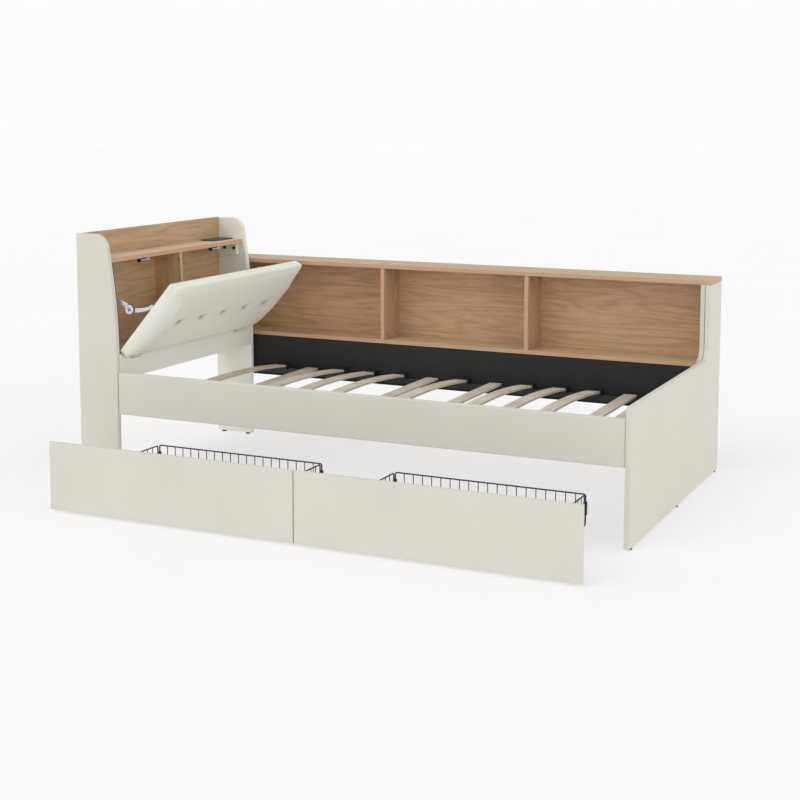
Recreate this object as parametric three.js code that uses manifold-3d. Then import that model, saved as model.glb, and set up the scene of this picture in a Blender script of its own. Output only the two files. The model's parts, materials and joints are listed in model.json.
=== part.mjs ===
// Storage daybed: an upholstered frame with a deep shelf headboard behind a drop-down padded flap,
// a low oak bookcase along the back, a slatted base, and two wire drawers on castors underneath.
// Millimetres. X runs from the headboard to the footboard, Y from the front to the back, Z up.

import * as THREE from 'three';
import { mergeVertices } from 'three/addons/utils/BufferGeometryUtils.js';
import Module from 'manifold-3d';

const wasm = await Module();
wasm.setup();

// Overall sizes of the bed
const mattressLength = 1920;
const mattressWidth = 967;
const headboardHeight = 925;
const bookcaseHeight = 750;
const footboardHeight = 459;
const panelThickness = 22;
const boardThickness = 16;
const seam = 0.3;
const softEdge = 4;
const cutOverrun = 5;

// Headboard cabinet
const headboardDepth = 170;
const slantStart = 490;
const shoulderDrop = 60;
const shoulderDepth = 137;
const crownFlat = 81;
const slantBulgeShares = [1.006, 0.453, 0.882, 0.747];
const backBoardInset = 6;
const backBoardThickness = 12;
const lowerRailDrop = 31;
const lowerRailHeight = 95;
const shelfDrop = 90;
const shelfDepth = 131;
const cleatDepth = 93;
const cleatHeight = 48;
const cleatThickness = 12;

// Charging pad on the top shelf
const padWidth = 149;
const padDepth = 72;
const padHeight = 4;
const padCorner = 14;
const padSetback = 2;

// Magnetic catches under the top shelf
const catchWidth = 46;
const catchDepth = 17;
const catchHeight = 14;
const catchPlate = 3;
const catchSpacing = 495;

// Drop-down flap and its hinges
const flapEndGaps = 12;
const flapSideGap = 3;
const flapBoard = 15;
const flapCrown = 38;
const flapEdge = 19;
const flapOpenAngle = 41;
const flapClosedTilt = 2.33;
const flapRearGap = 1.3;
const hingeSetback = 23.3;
const hingeDrop = 21.5;
const hingeForward = 2.5;
const hingeBelowRail = 16.5;
const knuckleRadius = 4.5;
const knuckleBore = 2.5;
const hingePinRadius = 2.1;
const hingeWidth = 60;
const hingeInset = 95;
const hingeLeaf = 2;
const notchDepth = 14;
const notchGap = 3;
const tuftCount = 5;
const tuftSpacing = 156;
const tuftDepth = 13;
const tuftSpread = 24;
const sideDrawIn = 4;

// Folding stays beside the flap
const stayThickness = 3;
const stayLayerGap = 0.6;
const stayStandoff = 14;
const stayWidth = 17;
const nearBowShares = { arm: -0.08, link: 0.03 };
const farBowShares = { arm: 0.1, link: -0.06 };
const stayHubRadius = 17;
const stayEyeRadius = 10;
const stayPinRadius = 3.5;
const stayBore = 3.9;
const stayBossRadius = 9;
const flapPivotBehind = 11;
const nearWallPivotX = 124;
const farWallPivotX = 126;
const nearWallPivotShare = 0.7113;
const farWallPivotShare = 0.5744;
const nearFlapPivotShare = 0.6176;
const farFlapPivotShare = 0.6059;
const nearElbowShares = [0.5528, -0.2222];
const farElbowShares = [0.5416, 0.2283];
const earRadius = 9;
const footLength = 34;
const footWidth = 20;

// Bed base
const railInset = 5;
const railDrop = 40;
const railHeight = 155;
const backRailDrop = 33;
const backRailHeight = 170;
const backRailThickness = 18;
const ledgeDrop = 122;
const ledgeHeight = 24;
const ledgeWidth = 34;
const slatCount = 13;
const slatPitch = 137;
const firstSlat = 143;
const slatWidth = 50;
const slatThickness = 8;
const slatRise = 28;
const slatEndGap = 19;
const slatSteps = 10;
const holderWall = 4;
const holderDepth = 30;
const holderGap = 0.4;

// Footboard and bookcase
const sweepRadius = 42;
const footCorner = 12;
const bookcaseDepth = 170;
const bookcaseInside = 146;
const bookcaseBackThickness = 12;
const outerEndStart = 30;
const leftDividerShare = 0.3503;
const rightDividerShare = 0.6561;
const glideHeight = 6;
const glideRadius = 9;
const glideInset = 26;

// Drawers
const drawerTravel = 405;
const drawerGap = 3;
const drawerBottom = 8;
const drawerDrop = 19;
const drawerThickness = 18;
const basketWidth = 680;
const basketDepth = 440;
const basketRimShare = 0.649;
const basketFloor = 52;
const basketCorner = 24;
const cornerGap = 7;
const rimRadius = 2.6;
const wireRadius = 1.6;
const wireSpacing = 36;
const wireSides = 6;
const thinWireSides = 4;
const floorSpacing = 68;
const clipWidth = 14;
const clipLowShare = 0.308;
const clipHighShare = 0.71;
const clipThickness = 4;
const wheelRadius = 20;
const wheelWidth = 16;
const wheelSides = 14;
const treadRadiusShares = [0, 0.6, 0.64, 0.9, 1];
const treadWidthShares = [1, 1, 0.8, 1, 0.7];
const axleRadius = 3;
const axleBore = 3.4;
const axleInset = 70;
const castorInset = 60;
const forkThickness = 2;
const forkWidth = 26;
const forkGap = 1.2;

// Places that follow from the sizes
const headboardWidth = mattressWidth;
const shoulderHeight = headboardHeight - shoulderDrop;
const shelfTop = headboardHeight - shelfDrop;
const railTop = footboardHeight - railDrop;
const railBottom = railTop - railHeight;
const backRailTop = footboardHeight - backRailDrop;
const backRailBottom = backRailTop - backRailHeight;
const ledgeTop = railTop - ledgeDrop;
const lowerRailBottom = railTop - lowerRailDrop;
const lowerRailTop = lowerRailBottom + lowerRailHeight;
const flapLength = shelfTop - lowerRailTop - flapEndGaps;
const drawerTop = railBottom - drawerDrop;
const basketRim = drawerTop * basketRimShare;
const footX = headboardDepth + mattressLength;
const totalLength = footX + panelThickness;
const bookcaseFront = railInset + panelThickness + mattressWidth;
const totalWidth = bookcaseFront + bookcaseDepth;
const farInner = headboardWidth - panelThickness;
const insideLeft = panelThickness + seam;
const insideRight = farInner - seam;
const boardFront = backBoardInset + backBoardThickness;
const railBack = headboardDepth - panelThickness;
const shelfUnderside = shelfTop - boardThickness;
const caseTop = bookcaseHeight - boardThickness;
const caseBottom = backRailTop + boardThickness;
const innerEndStart = outerEndStart + panelThickness;
const hingeX = headboardDepth + hingeForward;
const hingeZ = lowerRailTop - hingeBelowRail;
const openFront = railInset - drawerTravel;
const flapWidth = headboardWidth - 2 * (panelThickness + flapSideGap);
const flapStart = panelThickness + flapSideGap;
const radians = THREE.MathUtils.degToRad;

// How finely the round pieces are drawn
const pinSides = 12;
const bossSides = 14;
const discSides = 18;
const glideSides = 10;
const bandSteps = 8;
const cornerSteps = 4;

// Finishes
const finish = (color, roughness, metalness = 0) =>
  new THREE.MeshStandardMaterial({ color, roughness, metalness });
const upholstery = () => finish('#d2cec2', 0.62);
const oak = () => finish('#b0906a', 0.55);
const blackCloth = () => finish('#282828', 0.85);
const slatWood = () => finish('#bdb4a5', 0.6);
const blackPlastic = () => finish('#1c1c1e', 0.45);
const glossBlack = () => finish('#101012', 0.15);
const chrome = () => finish('#c9cbcd', 0.22, 1);
const creamEnamel = () => finish('#cdc8bb', 0.45, 0.1);
const blackWire = () => finish('#2f2f30', 0.4, 0.3);

// Solids: closed geometries joined and cut
function solid(geometry) {
  const bare = geometry.index ? geometry.toNonIndexed() : geometry.clone();
  bare.deleteAttribute('normal');
  bare.deleteAttribute('uv');
  const welded = mergeVertices(bare, 1e-4);
  return new wasm.Manifold(new wasm.Mesh({
    numProp: 3,
    vertProperties: new Float32Array(welded.attributes.position.array),
    triVerts: new Uint32Array(welded.index.array),
  }));
}

function geometryOf(body) {
  const mesh = body.getMesh();
  const geometry = new THREE.BufferGeometry();
  geometry.setAttribute('position', new THREE.BufferAttribute(mesh.vertProperties, 3));
  geometry.setIndex(new THREE.BufferAttribute(mesh.triVerts, 1));
  geometry.computeVertexNormals();
  return geometry;
}

function join(...geometries) {
  return geometryOf(geometries.map(solid).reduce((all, next) => all.add(next)));
}

function cut(geometry, ...tools) {
  return geometryOf(tools.map(solid).reduce((left, tool) => left.subtract(tool), solid(geometry)));
}

// Box between two corners
function block(x0, x1, y0, y1, z0, z1) {
  const geometry = new THREE.BoxGeometry(x1 - x0, y1 - y0, z1 - z0);
  return geometry.translate((x0 + x1) / 2, (y0 + y1) / 2, (z0 + z1) / 2);
}

// Outline through a list of points
function outline(points) {
  return new THREE.Shape(points.map(([a, b]) => new THREE.Vector2(a, b)));
}

function extrusion(shape, depth, edge, curveSegments) {
  return new THREE.ExtrudeGeometry(shape, {
    depth: depth - 2 * edge,
    bevelEnabled: edge > 0,
    bevelThickness: edge,
    bevelSize: edge,
    bevelOffset: -edge,
    bevelSegments: 2,
    curveSegments,
  }).translate(0, 0, edge);
}

// An outline in X and Z, as thick as y0 to y1
function plateXZ(shape, y0, y1, edge = 0, curveSegments = 6) {
  return extrusion(shape, y1 - y0, edge, curveSegments).rotateX(Math.PI / 2).translate(0, y1, 0);
}

// An outline in Y and Z, as thick as x0 to x1
function plateYZ(shape, x0, x1, edge = 0, curveSegments = 6) {
  const turn = new THREE.Matrix4().makeBasis(
    new THREE.Vector3(0, 1, 0), new THREE.Vector3(0, 0, 1), new THREE.Vector3(1, 0, 0));
  return extrusion(shape, x1 - x0, edge, curveSegments).applyMatrix4(turn).translate(x0, 0, 0);
}

// Upholstered board with soft edges, thin in Y or thin in X
function softBoardXZ(x0, x1, y0, y1, z0, z1) {
  return plateXZ(outline([[x0, z0], [x1, z0], [x1, z1], [x0, z1]]), y0, y1, softEdge);
}

function softBoardYZ(x0, x1, y0, y1, z0, z1) {
  return plateYZ(outline([[y0, z0], [y1, z0], [y1, z1], [y0, z1]]), x0, x1, softEdge);
}

// Round bar between two points
function rod(from, to, radius, sides = wireSides) {
  const start = new THREE.Vector3(...from);
  const way = new THREE.Vector3(...to).sub(start);
  const geometry = new THREE.CylinderGeometry(radius, radius, way.length(), sides);
  geometry.translate(0, way.length() / 2, 0);
  const turn = new THREE.Quaternion().setFromUnitVectors(new THREE.Vector3(0, 1, 0), way.normalize());
  return geometry.applyQuaternion(turn).translate(...from);
}

// Route whose steps fall on its own points
class Route extends THREE.Curve {
  constructor(points) {
    super();
    this.points = points;
  }
  getUtoTmapping(u) {
    return u;
  }
  getPoint(t, target = new THREE.Vector3()) {
    const place = t * (this.points.length - 1);
    const i = Math.min(Math.floor(place + 1e-9), this.points.length - 2);
    return target.lerpVectors(this.points[i], this.points[i + 1], place - i);
  }
  getTangent(t, target = new THREE.Vector3()) {
    const last = this.points.length - 1;
    const i = Math.round(t * last);
    const before = this.points[Math.max(i - 1, 0)];
    const here = this.points[i];
    const after = this.points[Math.min(i + 1, last)];
    const arrive = here.clone().sub(before).normalize();
    return target.copy(after).sub(here).normalize().add(arrive).normalize();
  }
}

// Bent round wire along a list of points
function bentWire(points, radius) {
  const section = new THREE.Shape();
  section.absarc(0, 0, radius, 0, 2 * Math.PI);
  const path = new Route(points.map((p) => new THREE.Vector3(...p)));
  return new THREE.ExtrudeGeometry(section, {
    steps: points.length - 1, curveSegments: wireSides, extrudePath: path, bevelEnabled: false,
  });
}

// The groups: the whole bed stands centred on its own footprint
const daybed = new THREE.Group();
daybed.position.set(-totalLength / 2, -(totalWidth + openFront) / 2, 0);
const bed = new THREE.Group();
daybed.add(bed);

function piece(name, geometry, material, parent = bed) {
  const mesh = new THREE.Mesh(geometry, material);
  mesh.name = name;
  parent.add(mesh);
  return mesh;
}

// Black glide under a leg
function glide(x, y, span) {
  return rod([x, y, 0], [x, y, glideHeight + span], glideRadius, glideSides);
}

// Headboard side panels
function sidePanelShape() {
  const [lowX, lowShare, highX, highShare] = slantBulgeShares;
  const rise = shoulderHeight - slantStart;
  const shape = new THREE.Shape();
  shape.moveTo(0, glideHeight);
  shape.lineTo(headboardDepth, glideHeight);
  shape.lineTo(headboardDepth, slantStart);
  shape.bezierCurveTo(
    headboardDepth * lowX, slantStart + rise * lowShare,
    headboardDepth * highX, slantStart + rise * highShare,
    shoulderDepth, shoulderHeight);
  shape.absellipse(
    crownFlat, shoulderHeight, shoulderDepth - crownFlat, headboardHeight - shoulderHeight,
    0, Math.PI / 2, false, 0);
  shape.lineTo(0, headboardHeight);
  return shape;
}

function cleat(y0, y1) {
  const top = shelfUnderside - seam;
  return block(boardFront + seam, boardFront + cleatDepth, y0, y1, top - cleatHeight, top);
}

// Wall pins of the folding stays, in the bed's X and Z; the height is a share of the compartment's
const wallPivot = (x, share) => [x, lowerRailTop + share * (shelfUnderside - lowerRailTop)];
const nearWallPivot = wallPivot(nearWallPivotX, nearWallPivotShare);
const farWallPivot = wallPivot(farWallPivotX, farWallPivotShare);

// Stub on the panel that carries the folding stay
function stayBoss([x, z], wall, inward) {
  const layer = wall + inward * stayStandoff;
  const shoulder = layer - inward * seam;
  const tip = layer + inward * (stayThickness + seam);
  return [
    rod([x, wall - inward * cutOverrun, z], [x, shoulder, z], stayBossRadius, bossSides),
    rod([x, wall, z], [x, tip, z], stayPinRadius, pinSides),
  ];
}

function sidePanel(name, outer, inner, pivot) {
  const inward = Math.sign(inner - outer);
  const low = Math.min(outer, inner);
  const high = Math.max(outer, inner);
  const middle = (outer + inner) / 2;
  const shell = plateXZ(sidePanelShape(), low, high, softEdge, 7);
  const reach = inner + inward * cleatThickness;
  piece(name, join(
    shell,
    glide(glideInset, middle - inward * seam, cutOverrun),
    glide(headboardDepth - glideInset, middle, cutOverrun),
    cleat(Math.min(inner - inward * cutOverrun, reach), Math.max(inner - inward * cutOverrun, reach)),
    ...stayBoss(pivot, inner, inward),
  ), upholstery());
}

sidePanel('headboard_near_side', 0, panelThickness, nearWallPivot);
sidePanel('headboard_far_side', headboardWidth, farInner, farWallPivot);

// Headboard boards
piece('headboard_back_board', block(
  backBoardInset, boardFront, insideLeft, insideRight, lowerRailBottom, headboardHeight), oak());
piece('headboard_top_shelf', block(
  boardFront + seam, shelfDepth, insideLeft, insideRight, shelfUnderside, shelfTop), oak());
piece('headboard_floor_shelf', block(
  boardFront + seam, railBack - seam, insideLeft, insideRight,
  lowerRailTop - boardThickness, lowerRailTop), oak());

// X of the closed flap's inner face at a height
function closedFace(z) {
  const tilt = radians(-flapClosedTilt);
  const along = new THREE.Vector2(Math.sin(tilt), Math.cos(tilt));
  const across = new THREE.Vector2(Math.cos(tilt), -Math.sin(tilt));
  const foot = new THREE.Vector2(hingeX, hingeZ)
    .addScaledVector(along, hingeDrop).addScaledVector(across, -hingeSetback);
  return foot.x + (z - foot.y) * Math.tan(tilt);
}

function dividerBoard() {
  const low = lowerRailTop + seam;
  const high = shelfUnderside - seam;
  const back = boardFront + seam;
  const middle = headboardWidth / 2;
  const shape = outline([
    [back, low], [closedFace(low) - flapRearGap, low],
    [closedFace(high) - flapRearGap, high], [back, high],
  ]);
  return plateXZ(shape, middle - boardThickness / 2, middle + boardThickness / 2);
}

piece('headboard_divider', dividerBoard(), oak());

// Lower rail, notched for the two hinges
const hingeYs = [flapStart + hingeInset, headboardWidth - flapStart - hingeInset];

function hingeNotch(y) {
  const half = hingeWidth / 2 + notchGap;
  return block(
    headboardDepth - notchDepth, headboardDepth + cutOverrun, y - half, y + half,
    hingeZ - knuckleRadius - notchGap, lowerRailTop + cutOverrun);
}

piece('headboard_lower_rail', cut(
  softBoardYZ(railBack, headboardDepth, insideLeft, insideRight, lowerRailBottom, lowerRailTop),
  ...hingeYs.map(hingeNotch)), upholstery());

// Fixed hinge leaf: plate in the notch, two outer knuckles and the pin
const knuckleGap = 0.5;
const fixedKnuckle = hingeWidth / 4;

function fixedLeaf(y) {
  const wall = headboardDepth - notchDepth + seam;
  const low = hingeZ - knuckleRadius;
  const half = hingeWidth / 2;
  const ends = [[y - half, y - half + fixedKnuckle], [y + half - fixedKnuckle, y + half]];
  const plate = block(wall, wall + hingeLeaf, y - half, y + half, low, lowerRailTop);
  const pin = rod([hingeX, y - half, hingeZ], [hingeX, y + half, hingeZ], hingePinRadius, pinSides);
  const parts = [plate, pin];
  for (const [start, stop] of ends) {
    parts.push(rod([hingeX, start, hingeZ], [hingeX, stop, hingeZ], knuckleRadius, pinSides));
    parts.push(block(wall, hingeX, start, stop, low, low + hingeLeaf));
  }
  return join(...parts);
}

piece('flap_near_hinge_leaf', fixedLeaf(hingeYs[0]), creamEnamel());
piece('flap_far_hinge_leaf', fixedLeaf(hingeYs[1]), creamEnamel());

// Charging pad, rounded and flat
function roundedOutline(x0, x1, y0, y1, radius) {
  const shape = new THREE.Shape();
  shape.absarc(x1 - radius, y1 - radius, radius, 0, Math.PI / 2);
  shape.absarc(x0 + radius, y1 - radius, radius, Math.PI / 2, Math.PI);
  shape.absarc(x0 + radius, y0 + radius, radius, Math.PI, 1.5 * Math.PI);
  shape.absarc(x1 - radius, y0 + radius, radius, 1.5 * Math.PI, 2 * Math.PI);
  return shape;
}

const padX = boardFront + padSetback;
piece('charging_pad', extrusion(
  roundedOutline(padX, padX + padDepth, insideRight - padWidth, insideRight, padCorner),
  padHeight, padHeight / 4, 3).translate(0, 0, shelfTop + seam), glossBlack());

// Magnetic catches: a body with a raised pole plate at its front
function magneticCatch(y) {
  const top = shelfUnderside - seam;
  const low = top - catchHeight;
  const front = closedFace(low) - flapRearGap;
  const half = catchWidth / 2;
  const inset = catchPlate;
  return join(
    block(front - catchDepth, front - catchPlate, y - half, y + half, low, top),
    block(front - catchDepth / 2, front, y - half + inset, y + half - inset, low + inset, top - inset));
}

piece('flap_near_catch', magneticCatch((headboardWidth - catchSpacing) / 2), blackPlastic());
piece('flap_far_catch', magneticCatch((headboardWidth + catchSpacing) / 2), blackPlastic());

// Front rail and black back rail
piece('front_rail', softBoardXZ(
  headboardDepth + seam, footX - seam, railInset, railInset + panelThickness,
  railBottom, railTop), upholstery());
piece('back_rail', block(
  outerEndStart, footX - seam, bookcaseFront, bookcaseFront + backRailThickness,
  backRailBottom, backRailTop), blackCloth());

// Slats: flat ones are screwed down, the others bow upwards out of black holders
const slatStart = railInset + panelThickness + slatEndGap;
const slatStop = bookcaseFront - slatEndGap;

// The flat slats are the second from each end and the two beside the middle one
function isFlat(number) {
  const fromMiddle = Math.abs(number - (slatCount + 1) / 2);
  return fromMiddle === 1 || fromMiddle === (slatCount - 3) / 2;
}

function slatX(number) {
  return headboardDepth + firstSlat + (number - 1) * slatPitch;
}

function bowedShape(low, high) {
  const bow = (y) => slatRise * (1 - (2 * (y - slatStart) / (slatStop - slatStart) - 1) ** 2);
  const places = Array.from({ length: slatSteps + 1 }, (_, i) =>
    slatStart + (slatStop - slatStart) * i / slatSteps);
  const lower = places.map((y) => [y, low + bow(y)]);
  const upper = places.map((y) => [y, high + bow(y)]).reverse();
  return outline([...lower, ...upper]);
}

function slat(number) {
  const x = slatX(number) - slatWidth / 2;
  const low = ledgeTop + seam;
  if (isFlat(number)) {
    return block(x, x + slatWidth, slatStart, slatStop, low, low + slatThickness);
  }
  const lift = holderWall;
  return plateYZ(bowedShape(low + lift, low + lift + slatThickness), x, x + slatWidth);
}

function slatRoom(number) {
  const x = slatX(number) - slatWidth / 2;
  const low = ledgeTop + seam + holderWall;
  const shape = bowedShape(low - holderGap, low + slatThickness + holderGap);
  return plateYZ(shape, x - holderGap, x + slatWidth + holderGap);
}

// Ledge with the slat holders on it; wall is the face that it is fixed to
function slatLedge(wall, inward) {
  const toward = (distance) => wall + inward * distance;
  const span = (a, b) => [Math.min(toward(a), toward(b)), Math.max(toward(a), toward(b))];
  const [y0, y1] = span(seam, ledgeWidth);
  const x0 = headboardDepth + slatEndGap;
  const x1 = footX - slatEndGap;
  const parts = [block(x0, x1, y0, y1, ledgeTop - ledgeHeight, ledgeTop)];
  const rooms = [];
  for (let number = 1; number <= slatCount; number += 1) {
    if (isFlat(number)) continue;
    const half = slatWidth / 2 + holderWall;
    const [h0, h1] = span(slatEndGap - holderWall, slatEndGap + holderDepth);
    const top = ledgeTop + 2 * holderWall + slatThickness + holderWall;
    parts.push(block(slatX(number) - half, slatX(number) + half, h0, h1, ledgeTop - holderWall, top));
    rooms.push(slatRoom(number));
  }
  return cut(join(...parts), ...rooms);
}

piece('front_slat_ledge', slatLedge(railInset + panelThickness, 1), blackPlastic());
piece('back_slat_ledge', slatLedge(bookcaseFront, -1), blackPlastic());
for (let number = 1; number <= slatCount; number += 1) {
  const kind = isFlat(number) ? 'flat' : 'bowed';
  piece(`${kind}_slat_${number}`, slat(number), slatWood());
}

// Footboard: low at the front, swept up to the bookcase top at the back
function sweptShape(front, back, bottom, corner) {
  const shape = new THREE.Shape();
  shape.moveTo(front, bottom);
  shape.lineTo(back, bottom);
  shape.lineTo(back, caseTop - seam);
  shape.lineTo(bookcaseFront, caseTop - seam);
  shape.lineTo(bookcaseFront, footboardHeight + sweepRadius);
  shape.absarc(
    bookcaseFront - sweepRadius, footboardHeight + sweepRadius, sweepRadius, 0, -Math.PI / 2, true);
  if (corner > 0) {
    shape.absarc(front + corner, footboardHeight - corner, corner, Math.PI / 2, Math.PI);
  }
  return shape;
}

piece('footboard', join(
  plateYZ(sweptShape(0, totalWidth, glideHeight, footCorner), footX, totalLength, softEdge),
  glide(footX + panelThickness / 2, glideInset, cutOverrun),
  glide(footX + panelThickness / 2 - seam, totalWidth / 2, cutOverrun),
  glide(footX + panelThickness / 2, totalWidth - glideInset, cutOverrun)), upholstery());

// Bookcase
const caseBack = bookcaseFront + bookcaseInside;
const caseStop = caseBack + bookcaseBackThickness;
const caseLeft = innerEndStart + boardThickness + seam;
const caseRight = footX - boardThickness - 2 * seam;
const caseLow = backRailTop + seam;

piece('bookcase_outer_end', softBoardYZ(
  outerEndStart, innerEndStart, headboardWidth + seam, totalWidth,
  caseLow, caseTop - seam), upholstery());
piece('bookcase_left_end', block(
  innerEndStart + seam, innerEndStart + boardThickness, bookcaseFront, caseStop,
  caseLow, caseTop - seam), oak());
piece('bookcase_right_end', plateYZ(
  sweptShape(bookcaseFront - sweepRadius, caseStop, caseLow, 0),
  caseRight + seam, footX - seam), oak());
piece('bookcase_top', plateXZ(
  outline([[outerEndStart, caseTop], [totalLength, caseTop],
    [totalLength, bookcaseHeight], [outerEndStart, bookcaseHeight]]),
  bookcaseFront, totalWidth, softEdge / 4), oak());
piece('bookcase_shelf', block(
  caseLeft, caseRight, bookcaseFront, caseBack, caseLow, caseBottom), oak());
piece('bookcase_back_panel', block(
  caseLeft, caseRight, caseBack + seam, caseStop, caseLow, caseTop - seam), oak());

function caseDivider(share) {
  const middle = innerEndStart + (footX - innerEndStart) * share;
  return block(
    middle - boardThickness / 2, middle + boardThickness / 2, bookcaseFront, caseBack,
    caseBottom + seam, caseTop - seam);
}

piece('bookcase_left_divider', caseDivider(leftDividerShare), oak());
piece('bookcase_right_divider', caseDivider(rightDividerShare), oak());

// Flap: its group turns about the hinge axis, Z along the flap and X out of its face
const flap = new THREE.Group();
flap.position.set(hingeX, 0, hingeZ);
flap.rotation.y = radians(flapOpenAngle);
bed.add(flap);

const flapMiddle = headboardWidth / 2;
const faceX = -hingeSetback;
const faceZ = hingeDrop;

// Board with a cranked strap and knuckle under each hinge
function movingLeaf(y) {
  const half = hingeWidth / 2 - fixedKnuckle - knuckleGap;
  const over = faceZ + hingeLeaf;
  const under = faceZ - hingeLeaf;
  const strap = outline([
    [faceX + hingeLeaf, over], [faceX + hingeLeaf, under], [faceX + flapBoard - hingeLeaf, under],
    [-hingeLeaf, 0], [hingeLeaf, hingeLeaf],
    [faceX + flapBoard - seam, faceZ - seam], [faceX + flapBoard - seam, over],
  ]);
  return [
    plateXZ(strap, y - half, y + half),
    rod([0, y - half, 0], [0, y + half, 0], knuckleRadius, pinSides),
  ];
}

function hingeBore(y) {
  return rod([0, y - hingeWidth, 0], [0, y + hingeWidth, 0], knuckleBore, pinSides);
}

const flapBoardSheet = block(
  faceX, faceX + flapBoard, flapStart, flapStart + flapWidth, faceZ, faceZ + flapLength);
piece('flap_board', cut(
  join(flapBoardSheet, ...hingeYs.flatMap(movingLeaf)),
  ...hingeYs.map(hingeBore)), upholstery(), flap);

// Padded face of the flap: crowned, drawn in at its sides and tufted in one row
const tuftYs = Array.from({ length: tuftCount }, (_, i) => (i - (tuftCount - 1) / 2) * tuftSpacing);
const tuftColumns = 6;
const endColumns = 7;
const cushionRows = 10;
const cushionLayers = 2;

// Columns fall on the tufts
function columnPlace(share) {
  const columns = (tuftCount - 1) * tuftColumns + 2 * endColumns;
  const reach = (tuftCount - 1) * tuftSpacing / 2;
  const offset = Math.abs(share) * columns / 2;
  const inner = columns / 2 - endColumns;
  const place = offset <= inner
    ? reach * offset / inner
    : reach + (flapWidth / 2 - reach) * (offset - inner) / endColumns;
  return Math.sign(share) * place;
}

// Starts as a box one unit thick whose faces run from -1 to 1
function cushion() {
  const columns = (tuftCount - 1) * tuftColumns + 2 * endColumns;
  const geometry = new THREE.BoxGeometry(1, 2, 2, cushionLayers, columns, cushionRows);
  const points = geometry.attributes.position;
  for (let i = 0; i < points.count; i += 1) {
    const a = points.getY(i);
    const b = points.getZ(i);
    const up = points.getX(i) + 1 / 2;
    const y = columnPlace(a);
    const z = b * flapLength / 2;
    const fill = ((1 - Math.abs(a) ** 16) * (1 - Math.abs(b) ** 4)) ** (1 / 2);
    const tuft = tuftYs.reduce(
      (sum, centre) => sum + Math.exp(-((y - centre) ** 2 + z ** 2) / tuftSpread ** 2), 0);
    const height = flapEdge + (flapCrown - flapEdge) * fill - tuftDepth * tuft;
    const round = sideDrawIn * (1 - (2 * up - 1) ** 2 + up * up) / 2;
    const sagY = sideDrawIn * (1 - b * b) * a ** 16;
    const sagZ = sideDrawIn * Math.sin(Math.PI * (y / tuftSpacing)) ** 2 * b ** 16 / 2;
    points.setXYZ(
      i,
      faceX + flapBoard + seam + up * height,
      flapMiddle + y - a * (sagY + round * a * a),
      faceZ + flapLength / 2 + z - b * (sagZ + round * b * b));
  }
  return geometry;
}

piece('flap_cushion', join(cushion()), upholstery(), flap);

// Folding stays: the arm swings from the side panel, the link from the flap's bracket
function layerSpan(wall, inward, layer) {
  const start = wall + inward * (stayStandoff + layer * (stayThickness + stayLayerGap));
  const stop = start + inward * stayThickness;
  return [Math.min(start, stop), Math.max(start, stop)];
}

function disc([x, z], radius, [y0, y1], sides = discSides) {
  return rod([x, y0, z], [x, y1, z], radius, sides);
}

function bowedBand(from, to, bowShare) {
  const start = new THREE.Vector2(...from);
  const stop = new THREE.Vector2(...to);
  const way = stop.clone().sub(start);
  const side = new THREE.Vector2(-way.y, way.x);
  const middle = start.clone().lerp(stop, 1 / 2).addScaledVector(side, 2 * bowShare);
  const curve = new THREE.QuadraticBezierCurve(start, middle, stop);
  const steps = Array.from({ length: bandSteps + 1 }, (_, i) => i / bandSteps);
  const edge = (offset) => steps.map((t) => {
    const p = curve.getPoint(t);
    const along = curve.getTangent(t);
    return [p.x - along.y * offset, p.y + along.x * offset];
  });
  return outline([...edge(-stayWidth / 2), ...edge(stayWidth / 2).reverse()]);
}

function stayBar(eye, hub, hubRadius, bowShare, span) {
  const band = plateXZ(bowedBand(eye, hub, bowShare), ...span);
  const bar = join(band, disc(eye, stayEyeRadius, span), disc(hub, hubRadius, span));
  return cut(bar, disc(eye, stayBore, [span[0] - cutOverrun, span[1] + cutOverrun], pinSides));
}

// Pins on the flap: along it and behind its inner face
const nearFlapPivot = [flapLength * nearFlapPivotShare, flapPivotBehind];
const farFlapPivot = [flapLength * farFlapPivotShare, flapPivotBehind];

// Place of such a pin in the bed's X and Z
function onFlap([along, behind]) {
  const angle = radians(flapOpenAngle);
  const x = faceX - behind;
  const z = faceZ + along;
  return [
    hingeX + x * Math.cos(angle) + z * Math.sin(angle),
    hingeZ - x * Math.sin(angle) + z * Math.cos(angle),
  ];
}

function flapBracket([along, behind], wall, inward) {
  const [, linkStop] = inward > 0
    ? layerSpan(wall, inward, 1) : layerSpan(wall, inward, 1).reverse();
  const ear0 = linkStop + inward * stayLayerGap;
  const ear1 = ear0 + inward * stayThickness;
  const span = [Math.min(ear0, ear1), Math.max(ear0, ear1)];
  const x = faceX - behind;
  const z = faceZ + along;
  const back = faceX - seam;
  const earShape = outline([
    [back, z - footLength / 2], [back, z + footLength / 2], [x, z + earRadius], [x, z - earRadius]]);
  const foot1 = ear0 + inward * footWidth;
  return join(
    plateXZ(earShape, ...span),
    disc([x, z], earRadius, span, bossSides),
    rod([x, linkStop - inward * (stayThickness + seam), z], [x, ear1, z], stayPinRadius, pinSides),
    block(back - stayThickness, back, Math.min(ear0, foot1), Math.max(ear0, foot1),
      z - footLength / 2, z + footLength / 2));
}

// Elbow between the two pins: its shares are along the line that joins them, and aside
function elbowPlace([x0, z0], [x1, z1], [along, aside]) {
  return [x0 + along * (x1 - x0) - aside * (z1 - z0), z0 + along * (z1 - z0) + aside * (x1 - x0)];
}

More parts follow.
